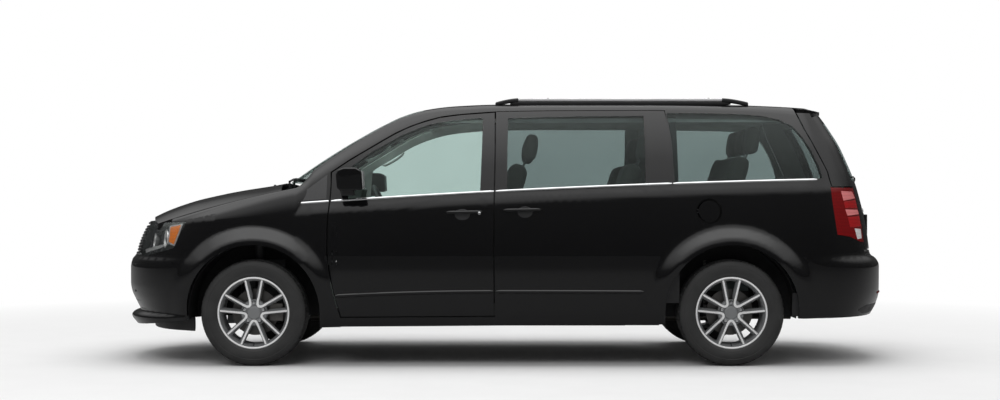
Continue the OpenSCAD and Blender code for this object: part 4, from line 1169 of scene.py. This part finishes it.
def tyre(sizes):
    """One tyre about the origin: round shoulders, four grooves, and cut shoulder blocks."""
    deep = sizes.tread_depth / MM
    half = []
    for across in (8, 22, 52, 62):
        half += [(343, across - 0.01)] if across in (8, 52) else []
    tread = [(342.5, 4), (342.5, 19), (342.5 - deep, 20.5), (342.5 - deep, 28.5), (342.5, 30),
             (342, 56), (342 - deep, 57.5), (342 - deep, 65.5), (341.5, 67)]
    shoulder = [(339, 82), (333, 96), (322, 104)]
    wall = [(312, 107.5), (300, 110), (297, 109), (294, 110.5), (280, 111.5), (262, 110),
            (252, 107), (250, 108), (245, 106), (236, 103), (232, 100)]
    outer = tread + shoulder + wall
    profile = [(r, -h) for r, h in reversed(outer)] + outer
    bm = turned(profile, 120)
    blocks = [f for f in bm.faces if 0.067 < abs(f.calc_center_median().z) < 0.098
              and math.hypot(*f.calc_center_median().xy) > 0.33
              and int(round(math.degrees(math.atan2(f.calc_center_median().y,
                                                    f.calc_center_median().x)) / 3 - 0.5)) % 3 == 0]
    cut = bmesh.ops.inset_individual(bm, faces=blocks, thickness=0.0015, depth=-0.0055)
    bmesh.ops.recalc_face_normals(bm, faces=bm.faces)
    del cut
    return bm


def on_side(sign):
    """The flank of one side as a surface for patch."""
    return lambda x, z, out: flank_spot(x, z, out, sign)


MIRROR_SIDE = [(1070, 1236), (1056, 1262), (1018, 1275), (940, 1275), (908, 1258), (894, 1140),
               (912, 1131), (1046, 1131), (1062, 1146)]
SAIL = [(1336, 1060), (1314, 1100), (1268, 1137), (1140, 1233), (1142, 1074)]
# bottom and top of each cover, where the door's part ends and where the body's part starts
HINGE_COVERS = [(655, 746, 1098.5, 1105.5), (835, 926, 1096.5, 1098)]


class MINIVAN_OT_mirrors(PieceOperator, Operator):
    """Door mirrors with a glass in a black frame, the sail panels and the hinge covers"""

    bl_idname = "minivan.mirrors"
    bl_label = "Mirrors and door edges"

    def build(self, sizes):
        for side, sign in SIDES.items():
            door = f"front_door_{side}"
            head = slab(MIRROR_SIDE, 938, 1105, 20, 5)
            for v in head.verts:
                back = clamp((v.co.x - 0.96) / 0.11)
                v.co.y = mix(v.co.y, 0.995 + (v.co.y - 0.995) * 0.82, back)
            frame_ring = slab([(903, 1254), (897, 1140), (889 + 4.5, 1140), (899, 1254)], 946, 1098, 1.5, 2)
            foot = slab([(1048, 1098), (1040, 1150), (962, 1150), (958, 1098)], 905, 975, 8, 3)
            finish_mesh(f"mirror_shell_{side}", mirrored(head, sign), [finish("paint")], door,
                        45, [f"mirror_{side}"])
            finish_mesh(f"mirror_foot_{side}", mirrored(foot, sign), [finish("trim")], door,
                        45)
            finish_mesh(f"mirror_pane_{side}", mirrored(frame_ring, sign), [finish("reflector")], door,
                        45)
            finish_mesh(f"sail_panel_{side}", patch(SAIL, on_side(sign), 1.4, 2.6),
                        [finish("gloss_black")], "body", 30)
            for low, high, end, start in HINGE_COVERS:
                for part, body, x0, x1 in (("rear", door, 1076, end), ("front", "body", start, 1129)):
                    cover = patch([(x0, low), (x1, low), (x1, high), (x0, high)], on_side(sign),
                                  0.7, 1.2, edge=0.3)
                    finish_mesh(f"hinge_cover_{low}_{part}_{side}", cover, [finish("paint")], body,
                                30)


class MINIVAN_OT_headlamps(PieceOperator, Operator):
    """Headlamps: clear lens, black housing, chrome bowls and an amber marker"""

    bl_idname = "minivan.headlamps"
    bl_label = "Headlamps"

    def build(self, sizes):
        lens = thickened(outer_skin("headlamps", ["nose"]), [form("nose")], 2.5)
        finish_mesh("headlamp_lenses", lens, [finish("lens")], "body", 40, ["headlamps"])
        housing = bowl(outer_skin("headlamps", ["nose"]), [form("nose")], 52, 3)
        finish_mesh("headlamp_housings", housing, [finish("lamp_black")], "body", 30)
        for side, sign in SIDES.items():
            spot = on_side(sign)
            parts = []
            for x, z, r in ((2222, 822, 60), (2322, 806, 52)):
                place = Vector(flank_spot(x, z, -8, 1))
                out = (place - Vector(flank_spot(x, z, -20, 1))).normalized()
                aim = (out + Vector((1.1, 0, 0))).normalized().to_track_quat("Z", "Y").to_matrix().to_4x4()
                dish = turned([(r, 0), (r + 3, -2), (r + 3, 2), (r - 1, 1), (r * 0.8, -14),
                               (r * 0.5, -27), (r * 0.22, -33), (0, -34)], 48)
                bulb = turned([(0, -6), (9, -8), (11, -14), (9, -30), (0, -32)], 24)
                for part in (dish, bulb):
                    part = moved(part, Matrix.Translation((place - out * 16) * MM) @ aim)
                    parts.append(mirrored(part, sign))
            finish_mesh(f"headlamp_bowls_{side}", joined(parts), [finish("reflector")], "body",
                        40)
            bright = patch([(2196, 792), (2180, 905), (2078, 920), (2100, 858), (2136, 772)], spot,
                           -7, 3)
            finish_mesh(f"marker_rim_{side}", bright, [finish("reflector")], "body", 30)
            filler = patch([(2070, 838), (2060, 690), (2180, 662), (2330, 668), (2352, 702), (2192, 742),
                            (2134, 763), (2092, 846)], spot, -3, 4)
            finish_mesh(f"lamp_corner_{side}", filler, [finish("paint")], "body", 30)
            amber = patch([(2178, 800), (2170, 896), (2092, 910), (2112, 856), (2142, 784)], spot,
                          -4.5, 3)
            finish_mesh(f"amber_marker_{side}", amber, [finish("amber")], "body", 30)
            for low, high in ((2215, 2390),):
                brow = patch([(high, 746), (high - 8, 722), (low + 40, 756), (low, 772), (low + 6, 784)],
                             spot, -10, 3)
                finish_mesh(f"headlamp_brow_{side}", brow, [finish("reflector")], "body",
                            30)


class MINIVAN_OT_grille(PieceOperator, Operator):
    """Grille bars in a dark bay, the air openings and the air dam"""

    bl_idname = "minivan.grille"
    bl_label = "Grille and air openings"

    def build(self, sizes):
        bay = bowl(outer_skin("grille", ["nose"]), [form("nose")], 36, 0)
        finish_mesh("grille_bay", bay, [finish("liner")], "body", 30, ["grille"])
        bars = [self.bar(z, 32, 7.5, 0) for z in
                [mix(726, 902, (i + 0.5) / sizes.grille_bars) for i in range(sizes.grille_bars)]]
        finish_mesh("grille_bars", joined(bars), [finish("gloss_black")], "body", 40)
        rim = joined([self.bar(z, 32, 7, 1.5) for z in (712, 916)])
        finish_mesh("grille_frame", rim, [finish("chrome")], "body", 40)
        low = [self.opening(350, 480), self.opening(566, 656)]
        finish_mesh("air_openings", joined(low), [finish("liner")], "body", 40)
        slats = [self.bar(z, 37, 5, -1) for z in (382, 415, 448, 596, 626)]
        finish_mesh("air_opening_slats", joined(slats), [finish("trim")], "body", 40)
        dam = net(self.dam_point, 70, 16)
        finish_mesh("air_dam", dam, [finish("trim")], "body", 40)

    @staticmethod
    def bar(z, reach, half, out):
        def point(u, v):
            a = math.tau * v
            return wrap_spot(z + half * math.sin(a), mix(-reach, reach, u), out + 6 * math.cos(a) - 6,
                             True)
        return net(point, 60, 12)

    @staticmethod
    def opening(low, high):
        def point(u, v):
            angle = mix(-37, 37, u)
            a = math.tau * v
            square = 0.25
            rise = math.copysign(abs(math.sin(a)) ** square, math.sin(a))
            return wrap_spot(mix(low + 8, high - 8, (rise + 1) / 2), angle,
                             -0.2 if math.cos(a) > 0 else -4, True)
        return net(point, 60, 24)

    @staticmethod
    def dam_point(u, v):
        angle = mix(-74, 74, u)
        a = math.tau * v
        z = 258 + 46 * math.copysign(abs(math.sin(a)) ** 0.5, math.sin(a))
        x, y, _ = wrap_point(290, angle, True)
        shift = 165 + 9 * math.cos(a)
        reach = math.hypot(x - 1850, y)
        keep = 1 - shift / reach
        return 1850 + (x - 1850) * keep, y * keep, z


TAIL_FACETS = [("upper", "pink_lens", 3.2, [(-2188, 1128), (-2286, 1124), (-2312, 1080), (-2204, 1066)]),
               ("middle", "pink_lens", 3.2, [(-2216, 1010), (-2326, 1006), (-2338, 976), (-2232, 968)]),
               ("reverse", "white_lens", 3.2, [(-2290, 884), (-2344, 880), (-2352, 818), (-2312, 814)]),
               ("upper_red", "bright_red_lens", 2.4, [(-2206, 1058), (-2316, 1070), (-2328, 1016),
                                                      (-2216, 1020)]),
               ("lower_red", "bright_red_lens", 2.4, [(-2234, 958), (-2340, 966), (-2350, 896),
                                                      (-2252, 892)])]


class MINIVAN_OT_tail_lamps(PieceOperator, Operator):
    """Tail lamps: dark red shells with stacked bright facets and a reversing lamp"""

    bl_idname = "minivan.tail_lamps"
    bl_label = "Tail lamps"

    def build(self, sizes):
        shell = thickened(outer_skin("tail_lamps", ["tail"], 0.02), [form("tail")], 20)
        finish_mesh("tail_lamp_shells", shell, [finish("red_lens")], "body", 40,
                    ["tail_lamps"])
        for side, sign in SIDES.items():
            for name, look, out, outline in TAIL_FACETS:
                facet = patch(outline, on_side(sign), out, out + 2, edge=2.0)
                finish_mesh(f"tail_lamp_{name}_{side}", facet, [finish(look)], "body",
                            30)


class MINIVAN_OT_roof_rails(PieceOperator, Operator):
    """Silver roof rails on dark bases with black end caps"""

    bl_idname = "minivan.roof_rails"
    bl_label = "Roof rails"

    def build(self, sizes):
        for i, (side, sign) in enumerate(SIDES.items()):
            bar = self.run(-1470, -72, lambda x: 1733 + 0, 10, 13, sign)
            base = self.run(-1500, -40, lambda x: 1710, 15, 12, sign)
            caps = [self.run(x0, x1, self.cap_height(x0, x1), 14.5, 16, sign)
                    for x0, x1 in ((-96, 58), (-1440, -1616))]
            finish_mesh(f"roof_rail_bar_{side}", bar, [finish("rail")], "body", 40,
                        ["roof_rails"] if i == 0 else [])
            finish_mesh(f"roof_rail_base_{side}", base, [finish("trim")], "body", 40)
            finish_mesh(f"roof_rail_caps_{side}", joined(caps), [finish("trim")], "body",
                        40)
            knobs = []
            for x in (-292, -1354):
                knob = turned([(0, 5), (7, 4), (9, 0), (9, -6), (0, -6)], 20)
                knobs.append(moved(knob, Matrix.Translation(Vector((x, sign * 617, 1741)) * MM)))
            finish_mesh(f"roof_rail_studs_{side}", joined(knobs), [finish("trim")], "body",
                        40)

    @staticmethod
    def cap_height(x0, x1):
        return lambda x: mix(1730, 1702, clamp((x - x0) / (x1 - x0)) ** 1.6)

    @staticmethod
    def run(x0, x1, height, half, wide, sign):
        def point(u, v):
            a = math.tau * v
            x = mix(x0, x1, u)
            rise = math.copysign(abs(math.sin(a)) ** 0.6, math.sin(a)) * half
            span = math.copysign(abs(math.cos(a)) ** 0.6, math.cos(a)) * wide
            end = 0.55 if u in (0.0, 1.0) else 1
            return x, sign * 617 + span * end, height(x) + rise * end
        return net(point, 40, 20)


class MINIVAN_OT_rear_details(PieceOperator, Operator):
    """Blank plate, liftgate handle, rear wiper, high brake lamp and bumper pieces"""

    bl_idname = "minivan.rear_details"
    bl_label = "Rear details"

    def build(self, sizes):
        plate = rounded_box((-2511, -152, 838), (-2508, 152, 962), 1.2)
        finish_mesh("blank_plate", plate, [finish("white_lens")], "liftgate", 40)
        handle = self.across(1000, 26, 14, 6)
        finish_mesh("liftgate_handle", handle, [finish("chrome")], "liftgate", 40)
        recess = self.across(975, 22, 12, 3)
        finish_mesh("liftgate_handle_recess", recess, [finish("trim")], "liftgate", 40)
        pivot = Vector(wrap_spot(1165, 0, 3, False))
        arm = [wrap_spot(mix(1170, 1215, t), mix(0, 24, t), 7, False) for t in
               [i / 10 for i in range(11)]]
        blade = [wrap_spot(mix(1228, 1222, t), mix(-2, 34, t), 5, False) for t in
                 [i / 14 for i in range(15)]]
        knob = turned([(0, 7), (14, 6), (18, 0), (18, -12), (0, -12)], 28)
        turn = Matrix.Rotation(-math.pi / 2, 4, "Y")
        parts = [moved(knob, Matrix.Translation(pivot * MM) @ turn), rod(arm, 6), rod(blade, 5)]
        finish_mesh("rear_wiper", joined(parts), [finish("trim")], "liftgate", 40)
        lamp = self.across(1618, 12, 9, 2)
        finish_mesh("high_brake_lamp", lamp, [finish("red_lens")], "liftgate", 40)
        step = self.across(706, 40, 12, 2.5)
        finish_mesh("bumper_step_pad", step, [finish("trim")], "body", 40)
        for side, sign in SIDES.items():
            filler = patch([(-1850, 318), (-1850, 470), (-1935, 470), (-1935, 318)], on_side(sign), -14, 6)
            finish_mesh(f"arch_edge_{side}", filler, [finish("liner")], "body", 30)
        low = self.across(352, 52, 30, 2)
        finish_mesh("rear_valance", low, [finish("trim")], "body", 40)
        for side, sign in SIDES.items():
            glow = [wrap_spot(452, sign * t, -3, False) for t in (20, 22, 24, 26, 28, 30)]
            finish_mesh(f"rear_reflector_{side}", rod(glow, 9), [finish("red_lens")], "body",
                        40)

    @staticmethod
    def across(z, reach, half, out):
        """A pad across the tail, centred, at a height."""
        def point(u, v):
            a = math.tau * v
            end = clamp(min(u, 1 - u) * 14 + 0.2)
            rise = math.copysign(abs(math.sin(a)) ** 0.6, math.sin(a)) * half * end
            return wrap_spot(z + rise, mix(-reach, reach, u), out * math.cos(a), False)
        return net(point, 50, 16)


class MINIVAN_OT_posts_and_seals(PieceOperator, Operator):
    """Centre posts and seals behind the door edges, with pale trim towards the cabin"""

    bl_idname = "minivan.posts_and_seals"
    bl_label = "Posts and seals"

    def build(self, sizes):
        looks = [finish("trim"), finish("headliner")]
        for side, sign in SIDES.items():
            for name, x0, x1 in (("centre", 14, 112), ("rear", -1130, -1000), ("front", 1100, 1175)):
                def point(u, v, x0=x0, x1=x1):
                    a = math.tau * (v + 0.125)
                    across = clamp(0.5 + 0.71 * math.cos(a))
                    top = min(door_top(mix(x0, x1, across)) + 22, 1630)
                    z = mix(392, top, u)
                    return flank_spot(mix(x0, x1, across), z, -74 if math.sin(a) > 0 else -92, sign)
                post = self.lined(net(point, 30, 4), sign)
                finish_mesh(f"{name}_post_{side}", post, looks, "body", 30)

            def rail(u, v):
                a = math.tau * (v + 0.125)
                x = mix(1180, -1130, u)
                up = clamp(0.5 + 0.71 * math.cos(a))
                z = door_top(x) + mix(-26, 34, up)
                return flank_spot(x, z, -70 if math.sin(a) > 0 else -90, sign)
            top = self.lined(net(rail, 70, 4), sign)
            finish_mesh(f"roof_side_trim_{side}", top, looks, "body", 30)

    @staticmethod
    def lined(bm, sign):
        """Pale towards the cabin, black towards the doors."""
        for face in bm.faces:
            face.material_index = 1 if face.normal.y * sign < -0.3 else 0
        return bm


class MINIVAN_OT_underbody(PieceOperator, Operator):
    """Materials of the floor, arches, axles, exhaust, engine, hinges, cowl and wipers"""

    bl_idname = "minivan.underbody"
    bl_label = "Underbody and fittings"

    def build(self, sizes):
        dress(finish("steel"), "floor_pan", "rear_axle", "front_suspension", "fuel_tank")
        hinges = cad_copy("door_hinges")
        for v in hinges.verts:
            x, z = v.co.x / MM, v.co.z / MM
            deepest = (flank(x, z) - 4) * MM
            if z < 1400 and abs(v.co.y) > deepest:
                v.co.y = math.copysign(deepest, v.co.y)
        finish_mesh("hinge_brackets", hinges, [finish("steel")], "body", 30,
                    ["door_hinges"])
        dress(finish("iron"), "knuckle_left", "knuckle_right")
        dress(finish("exhaust"), "exhaust")
        dress(finish("engine"), "engine")
        dress(finish("liner"), "arch_liners")
        dress(finish("trim"), "cowl", "wipers")
        dress(finish("disc"), *[f"disc_{end}_{side}" for end in ("front", "rear") for side in SIDES])
        nozzles = []
        for sign in (1, -1):
            cap = turned([(0, 7), (6, 6), (9, 2), (10, -2), (0, -2)], 20)
            spot = Vector((1556, sign * 330, hood_z(1556, 330) + 1)) * MM
            nozzles.append(moved(cap, Matrix.Translation(spot)))
        finish_mesh("washer_nozzles", joined(nozzles), [finish("trim")], "hood", 40)


CUSHION_MOVE = 0.016


def puffed(bm, move=CUSHION_MOVE, voxel=0.014):
    mesh = bpy.data.meshes.new("foam")
    bm.to_mesh(mesh)
    bm.free()
    foam = bpy.data.objects.new("foam", mesh)
    bpy.context.scene.collection.objects.link(foam)
    remesh = foam.modifiers.new("remesh", "REMESH")
    remesh.mode = "VOXEL"
    remesh.voxel_size = voxel
    foam.data = applied(foam)
    foam.modifiers.clear()
    start = [v.co.copy() for v in foam.data.vertices]
    cloth = foam.modifiers.new("cloth", "CLOTH")
    cloth.settings.use_pressure = True
    cloth.settings.uniform_pressure_force = 4
    cloth.settings.effector_weights.gravity = 0
    cloth.settings.quality = 4
    for step in range(1, 21):
        bpy.context.scene.frame_set(step)
    blown = applied(foam)
    foam.modifiers.clear()
    bpy.context.scene.frame_set(1)
    for v, home in zip(blown.vertices, start):
        shift = v.co - home
        if shift.length > move:
            v.co = home + shift.normalized() * move
    foam.data = blown
    out = bmesh.new()
    out.from_mesh(foam.data)
    bpy.data.objects.remove(foam)
    bmesh.ops.smooth_vert(out, verts=out.verts, factor=0.5, use_axis_x=True, use_axis_y=True,
                          use_axis_z=True)
    return out


def applied(piece):
    """The piece's mesh with its modifiers applied."""
    graph = bpy.context.evaluated_depsgraph_get()
    graph.update()
    return bpy.data.meshes.new_from_object(piece.evaluated_get(graph))


def sew(bm, lines, depth=5, width=9):
    """Presses seams into a cushion: each line is an axis and a place, in millimetres."""
    bm.normal_update()
    for v in bm.verts:
        for axis, place in lines:
            near = abs(v.co[axis] / MM - place) / width
            if near < 1.6:
                v.co -= v.normal * depth * MM * math.exp(-2 * near * near)
    return bm


def seat_pad(wide, long, thick, seams):
    """A cushion lying on its back about the origin, crowned on top, its seams pressed in."""
    pad = rounded_box((-long / 2, -wide / 2, 0), (long / 2, wide / 2, thick), 34, 4)
    for _ in range(2):
        bmesh.ops.subdivide_edges(pad, edges=[e for e in pad.edges if e.calc_length() > 0.04], cuts=1,
                                  use_grid_fill=True)
    for v in pad.verts:
        v.co *= 0.975
    pad = puffed(pad)
    return sew(pad, seams)


# name, CAD node, hip point x and z, seat places across, width
SEAT_ROWS = [("front_seat", "front_seats", 200, 770, (400, -400), 500),
             ("second_seat", "second_row_seats", -560, 770, (430, -430), 500),
             ("third_seat", "third_row_seat", -1290, 818, (0,), 1180)]
BACK_LEAN, HEAD_LEAN, CUSHION_LEAN = 73, 82, -3


class MINIVAN_OT_seats(PieceOperator, Operator):
    """Seats: puffed cushions and backs in cloth, headrests on posts, and their frames"""

    bl_idname = "minivan.seats"
    bl_label = "Seats"

    def build(self, sizes):
        pads = {}
        for row, node, hip_x, hip_z, places, wide in SEAT_ROWS:
            if wide not in pads:
                seams = [(1, -wide * 0.3), (1, wide * 0.3)] + ([(1, 0)] if wide > 900 else [])
                cross = [(0, -60), (0, 90)]
                pads[wide] = [self.kept(seat_pad(wide, 510, 110, seams + cross)),
                              self.kept(seat_pad(wide - 20, 640, 105, seams + cross)),
                              self.kept(seat_pad(250, 186, 84, []))]
            for k, y in enumerate(places):
                self.seat(f"{row}_{k + 1}", Vector((hip_x, y, hip_z)), wide, pads[wide],
                          [node] if k == 0 else [])

    @staticmethod
    def kept(bm):
        mesh = bpy.data.meshes.new("pad")
        bm.to_mesh(mesh)
        bm.free()
        return mesh

    @staticmethod
    def seat(label, hip, wide, meshes, replaced):
        heads = [0] if wide < 900 else [-400, 0, 400]
        spots = [("cushion", meshes[0], (178, 0, -165), CUSHION_LEAN),
                 ("back", meshes[1], (-268, 0, 236), BACK_LEAN)]
        for h, off in enumerate(heads):
            name = "headrest" if len(heads) == 1 else f"headrest_{h + 1}"
            spots.append((name, meshes[2], (-420, off, 646), HEAD_LEAN))
        for name, mesh, place, lean_by in spots:
            bm = bmesh.new()
            bm.from_mesh(mesh)
            where = (Matrix.Translation((hip + Vector(place)) * MM)
                     @ Matrix.Rotation(math.radians(lean_by), 4, "Y"))
            piece = finish_mesh(f"{label}_{name}", moved(bm, where), [finish("cloth")], "body",
                                60, replaced if name == "cushion" else [])
        posts = [rod([hip + Vector((x, off + side, z)) for x, z in ((-300, 450), (-345, 560), (-375, 640))],
                     6) for off in heads for side in (-60, 60)]
        finish_mesh(f"{label}_headrest_posts", joined(posts), [finish("chrome")], "body",
                    40)
        low = 372.3 - hip.z
        base = rounded_box(hip + Vector((-60, 60 - wide / 2, low)),
                           hip + Vector((320, wide / 2 - 60, -158)), 12)
        finish_mesh(f"{label}_frame", base, [finish("dash")], "body", 40)


class MINIVAN_OT_cabin(PieceOperator, Operator):
    """Dash, instrument hood, steering wheel, grab handles, inner mirror and headliner"""

    bl_idname = "minivan.cabin_fittings"
    bl_label = "Cabin fittings"

    def build(self, sizes):
        dress(finish("dash"), "dashboard")

        def ceiling(u, v):
            a = math.tau * v
            y = 716 * math.copysign(abs(math.cos(a)) ** 0.8, math.cos(a))
            x = mix(520, -1880, u)
            under = 78 if math.sin(a) < 0 else 62
            return x, y, roof_z(x, y) - under - 26 * (abs(y) / 716) ** 8
        finish_mesh("headliner", net(ceiling, 60, 48), [finish("headliner")], "body",
                    50)
        hood = slab([(1110, 1050), (1060, 1120), (985, 1150), (930, 1146), (950, 1075), (1010, 1040)],
                    250, 550, 14, 4)
        finish_mesh("instrument_hood", hood, [finish("dash")], "body", 45)
        low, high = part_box("steering_wheel")
        middle = [(a + b) / 2 / MM for a, b in zip(low, high)]
        tilt = Matrix.Rotation(math.radians(-63), 4, "Y")
        place = Matrix.Translation(Vector(middle) * MM) @ tilt
        ring = []
        for i in range(65):
            a = math.tau * i / 64
            ring.append((176 * math.cos(a), 176 * math.sin(a), 0))
        rim = net(lambda u, v: self.ring_point(u, v), 64, 14, True, False)
        bmesh.ops.remove_doubles(rim, verts=rim.verts, dist=1e-5)
        hub = turned([(0, 16), (52, 12), (68, 2), (66, -12), (40, -24), (0, -26)], 40)
        parts = [rim, hub]
        for angle in (0, 180, 270):
            a = math.radians(angle)
            line = [(r * math.sin(a), r * math.cos(a), -4 + 0.03 * r) for r in (50, 90, 130, 172)]
            parts.append(rod(line, [16, 13, 11, 10]))
        finish_mesh("steering_wheel_rim", moved(joined(parts), place), [finish("leather")],
                    "steering_wheel", 50, ["steering_wheel"])
        column = rod([Vector(middle) + Vector((t * 0.89, 0, -t * 0.45)) for t in (20, 90, 170)],
                     [34, 40, 44], 20)
        finish_mesh("steering_column", column, [finish("dash")], "body", 45)
        for side, sign in SIDES.items():
            grip = [flank_spot(x, door_top(x) - 34 + lift, -104 - drop, sign) for x, lift, drop in
                    ((900, 6, -12), (888, 0, 6), (850, -4, 14), (800, -4, 14), (762, 0, 6), (750, 6, -12))]
            finish_mesh(f"grab_handle_{side}", rod(grip, 9), [finish("cabin")], "body",
                        50)
        glass = rounded_box((708, -120, 1470), (726, 120, 1535), 8, 3)
        finish_mesh("inner_mirror", glass, [finish("dash")], "body", 45)

    @staticmethod
    def ring_point(u, v):
        a, b = math.tau * u, math.tau * v
        r = 174 + 15 * math.cos(b)
        return r * math.cos(a), r * math.sin(a), 13 * math.sin(b)


# ---- stage ----

class MINIVAN_OT_stage(PieceOperator, Operator):
    """Pale floor, soft studio light and the camera"""

    bl_idname = "minivan.stage"
    bl_label = "Stage"

    def build(self, sizes):
        scene = bpy.context.scene
        scene.view_settings.view_transform = "Standard"
        floor = bmesh.new()
        bmesh.ops.create_circle(floor, cap_ends=True, segments=64, radius=120)
        mesh = bpy.data.meshes.new("floor")
        floor.to_mesh(mesh)
        floor.free()
        mesh.materials.append(floor_material())
        ground = bpy.data.objects.new("floor", mesh)
        scene.collection.objects.link(ground)
        scene.world = studio_world()
        area_light("top_light", (0, 0, 7.5), (8, 5), 400, (0, 0, 0.6))
        area_light("key_light", (2.5, 7.5, 6.0), (6, 3), 190, (0, 0, 0.7))
        area_light("back_light", (-2.5, -7.5, 6.0), (6, 3), 120, (0, 0, 0.7))
        lens = bpy.data.cameras.new("camera")
        lens.lens = 58.6
        lens.clip_end = 400
        camera = bpy.data.objects.new("camera", lens)
        camera.location = (0.027, sizes.camera_distance, sizes.camera_height)
        camera.rotation_euler = (math.pi / 2, 0, math.pi)
        scene.collection.objects.link(camera)
        scene.camera = camera


def area_light(name, place, size, power, target):
    data = bpy.data.lights.new(name, "AREA")
    data.shape = "RECTANGLE"
    data.size, data.size_y = size
    data.energy = power
    lamp = bpy.data.objects.new(name, data)
    lamp.location = place
    lamp.rotation_euler = (Vector(target) - Vector(place)).to_track_quat("-Z", "Y").to_euler()
    bpy.context.scene.collection.objects.link(lamp)
    lamp.visible_glossy = False


def seen_directly(tree):
    """1 for rays from the camera or through glass."""
    path = add_node(tree, "ShaderNodeLightPath")
    return add_node(tree, "ShaderNodeMath", {0: path.outputs["Is Camera Ray"],
                                             1: path.outputs["Is Transmission Ray"]},
                    operation="MAXIMUM").outputs[0], path


def floor_material():
    """Pale floor that keeps the shadow near the object and meets the background white; where the car
    mirrors it, the floor is painted a dark grey, a painted shade on the car's lower body.
    """
    material, tree, shader = new_material("pale_floor", Roughness=0.9, Specular_IOR_Level=0.1)
    place = place_of(tree)
    tone = ramp_of(tree, noise_of(tree, place, 3.0, 4.0), (0.3, 0.79), (0.7, 0.81))
    tree.links.new(tone, shader.inputs["Base Color"])
    seen, path = seen_directly(tree)
    # painted shade: in the car's reflections the floor shows dark grey instead of its own pale colour
    reflected_floor_painted_shade = add_node(tree, "ShaderNodeBsdfDiffuse", {"Color": (0.27, 0.27, 0.27, 1)})
    far = add_node(tree, "ShaderNodeVectorMath", {0: place}, operation="LENGTH").outputs["Value"]
    fade = ramp_of(tree, add_node(tree, "ShaderNodeMath", {0: far, 1: 0.05},
                                  operation="MULTIPLY").outputs[0], (0.12, 0.0), (0.36, 1.0))
    white = add_node(tree, "ShaderNodeEmission", {"Color": (1, 1, 1, 1), "Strength": 1.0})
    share = add_node(tree, "ShaderNodeMath", {0: fade, 1: seen}, operation="MULTIPLY")
    near = add_node(tree, "ShaderNodeMixShader", {0: path.outputs["Is Glossy Ray"]})
    tree.links.new(shader.outputs[0], near.inputs[1])
    tree.links.new(reflected_floor_painted_shade.outputs[0], near.inputs[2])
    both = add_node(tree, "ShaderNodeMixShader", {0: share.outputs[0]})
    tree.links.new(near.outputs[0], both.inputs[1])
    tree.links.new(white.outputs[0], both.inputs[2])
    tree.links.new(both.outputs[0], tree.nodes["Material Output"].inputs["Surface"])
    return material


def studio_world():
    """White to the camera and through glass; a studio with a pale ceiling for light and gloss."""
    world = bpy.data.worlds.new("studio")
    world.use_nodes = True
    tree = world.node_tree
    shade_node = tree.nodes["Background"]
    seen, path = seen_directly(tree)
    coords = add_node(tree, "ShaderNodeTexCoord")
    split = add_node(tree, "ShaderNodeSeparateXYZ", {"Vector": coords.outputs["Generated"]})
    up = split.outputs["Z"]
    room = ramp_of(tree, up, (0.0, 0.025), (0.2, 0.05), (0.42, 0.34), (0.62, 0.46), (0.84, 1.0))
    across = add_node(tree, "ShaderNodeMapRange", {"Value": split.outputs["Y"], "From Min": -0.5,
                                                   "From Max": 0.2, "To Min": 1.1, "To Max": 2.4})
    room = add_node(tree, "ShaderNodeVectorMath", {0: room, "Scale": across.outputs["Result"]},
                    operation="SCALE").outputs[0]
    soft = ramp_of(tree, up, (0.0, 0.22), (0.5, 0.5), (1.0, 0.55))
    gloss = add_node(tree, "ShaderNodeMix", {"Factor": path.outputs["Is Glossy Ray"], "A": soft,
                                             "B": room}, data_type="RGBA")
    tone = add_node(tree, "ShaderNodeMix", {"Factor": seen, "A": gloss.outputs["Result"],
                                            "B": (1, 1, 1, 1)}, data_type="RGBA")
    tree.links.new(tone.outputs["Result"], shade_node.inputs["Color"])
    return world


# ---- panel, registration and the build ----

OPERATORS = [MINIVAN_OT_paintwork, MINIVAN_OT_glazing, MINIVAN_OT_side_trim,
             MINIVAN_OT_door_handles, MINIVAN_OT_wheels, MINIVAN_OT_mirrors,
             MINIVAN_OT_headlamps, MINIVAN_OT_grille, MINIVAN_OT_tail_lamps,
             MINIVAN_OT_roof_rails, MINIVAN_OT_rear_details, MINIVAN_OT_posts_and_seals,
             MINIVAN_OT_underbody, MINIVAN_OT_seats, MINIVAN_OT_cabin, MINIVAN_OT_stage]


class MINIVAN_PT_pieces(Panel):
    """Lists the pieces, the sizes and the finishes"""

    bl_idname = "MINIVAN_PT_pieces"
    bl_label = "Minivan"
    bl_space_type = "VIEW_3D"
    bl_region_type = "UI"
    bl_category = "Minivan"

    def draw(self, context):
        for operator in OPERATORS:
            self.layout.operator(operator.bl_idname)
        for group in (context.scene.minivan_sizes, context.scene.minivan_finishes):
            for key in group.bl_rna.properties.keys():
                if key not in ("rna_type", "name"):
                    self.layout.prop(group, key)


CLASSES = [MinivanSizes, MinivanFinishes, *OPERATORS, MINIVAN_PT_pieces]


def register():
    for cls in CLASSES:
        bpy.utils.register_class(cls)
    bpy.types.Scene.minivan_sizes = PointerProperty(type=MinivanSizes)
    bpy.types.Scene.minivan_finishes = PointerProperty(type=MinivanFinishes)


def unregister():
    del bpy.types.Scene.minivan_finishes
    del bpy.types.Scene.minivan_sizes
    for cls in reversed(CLASSES):
        bpy.utils.unregister_class(cls)


def main():
    register()
    for operator in OPERATORS:
        group, name = operator.bl_idname.split(".")
        getattr(getattr(bpy.ops, group), name)()


if __name__ == "__main__":
    main()
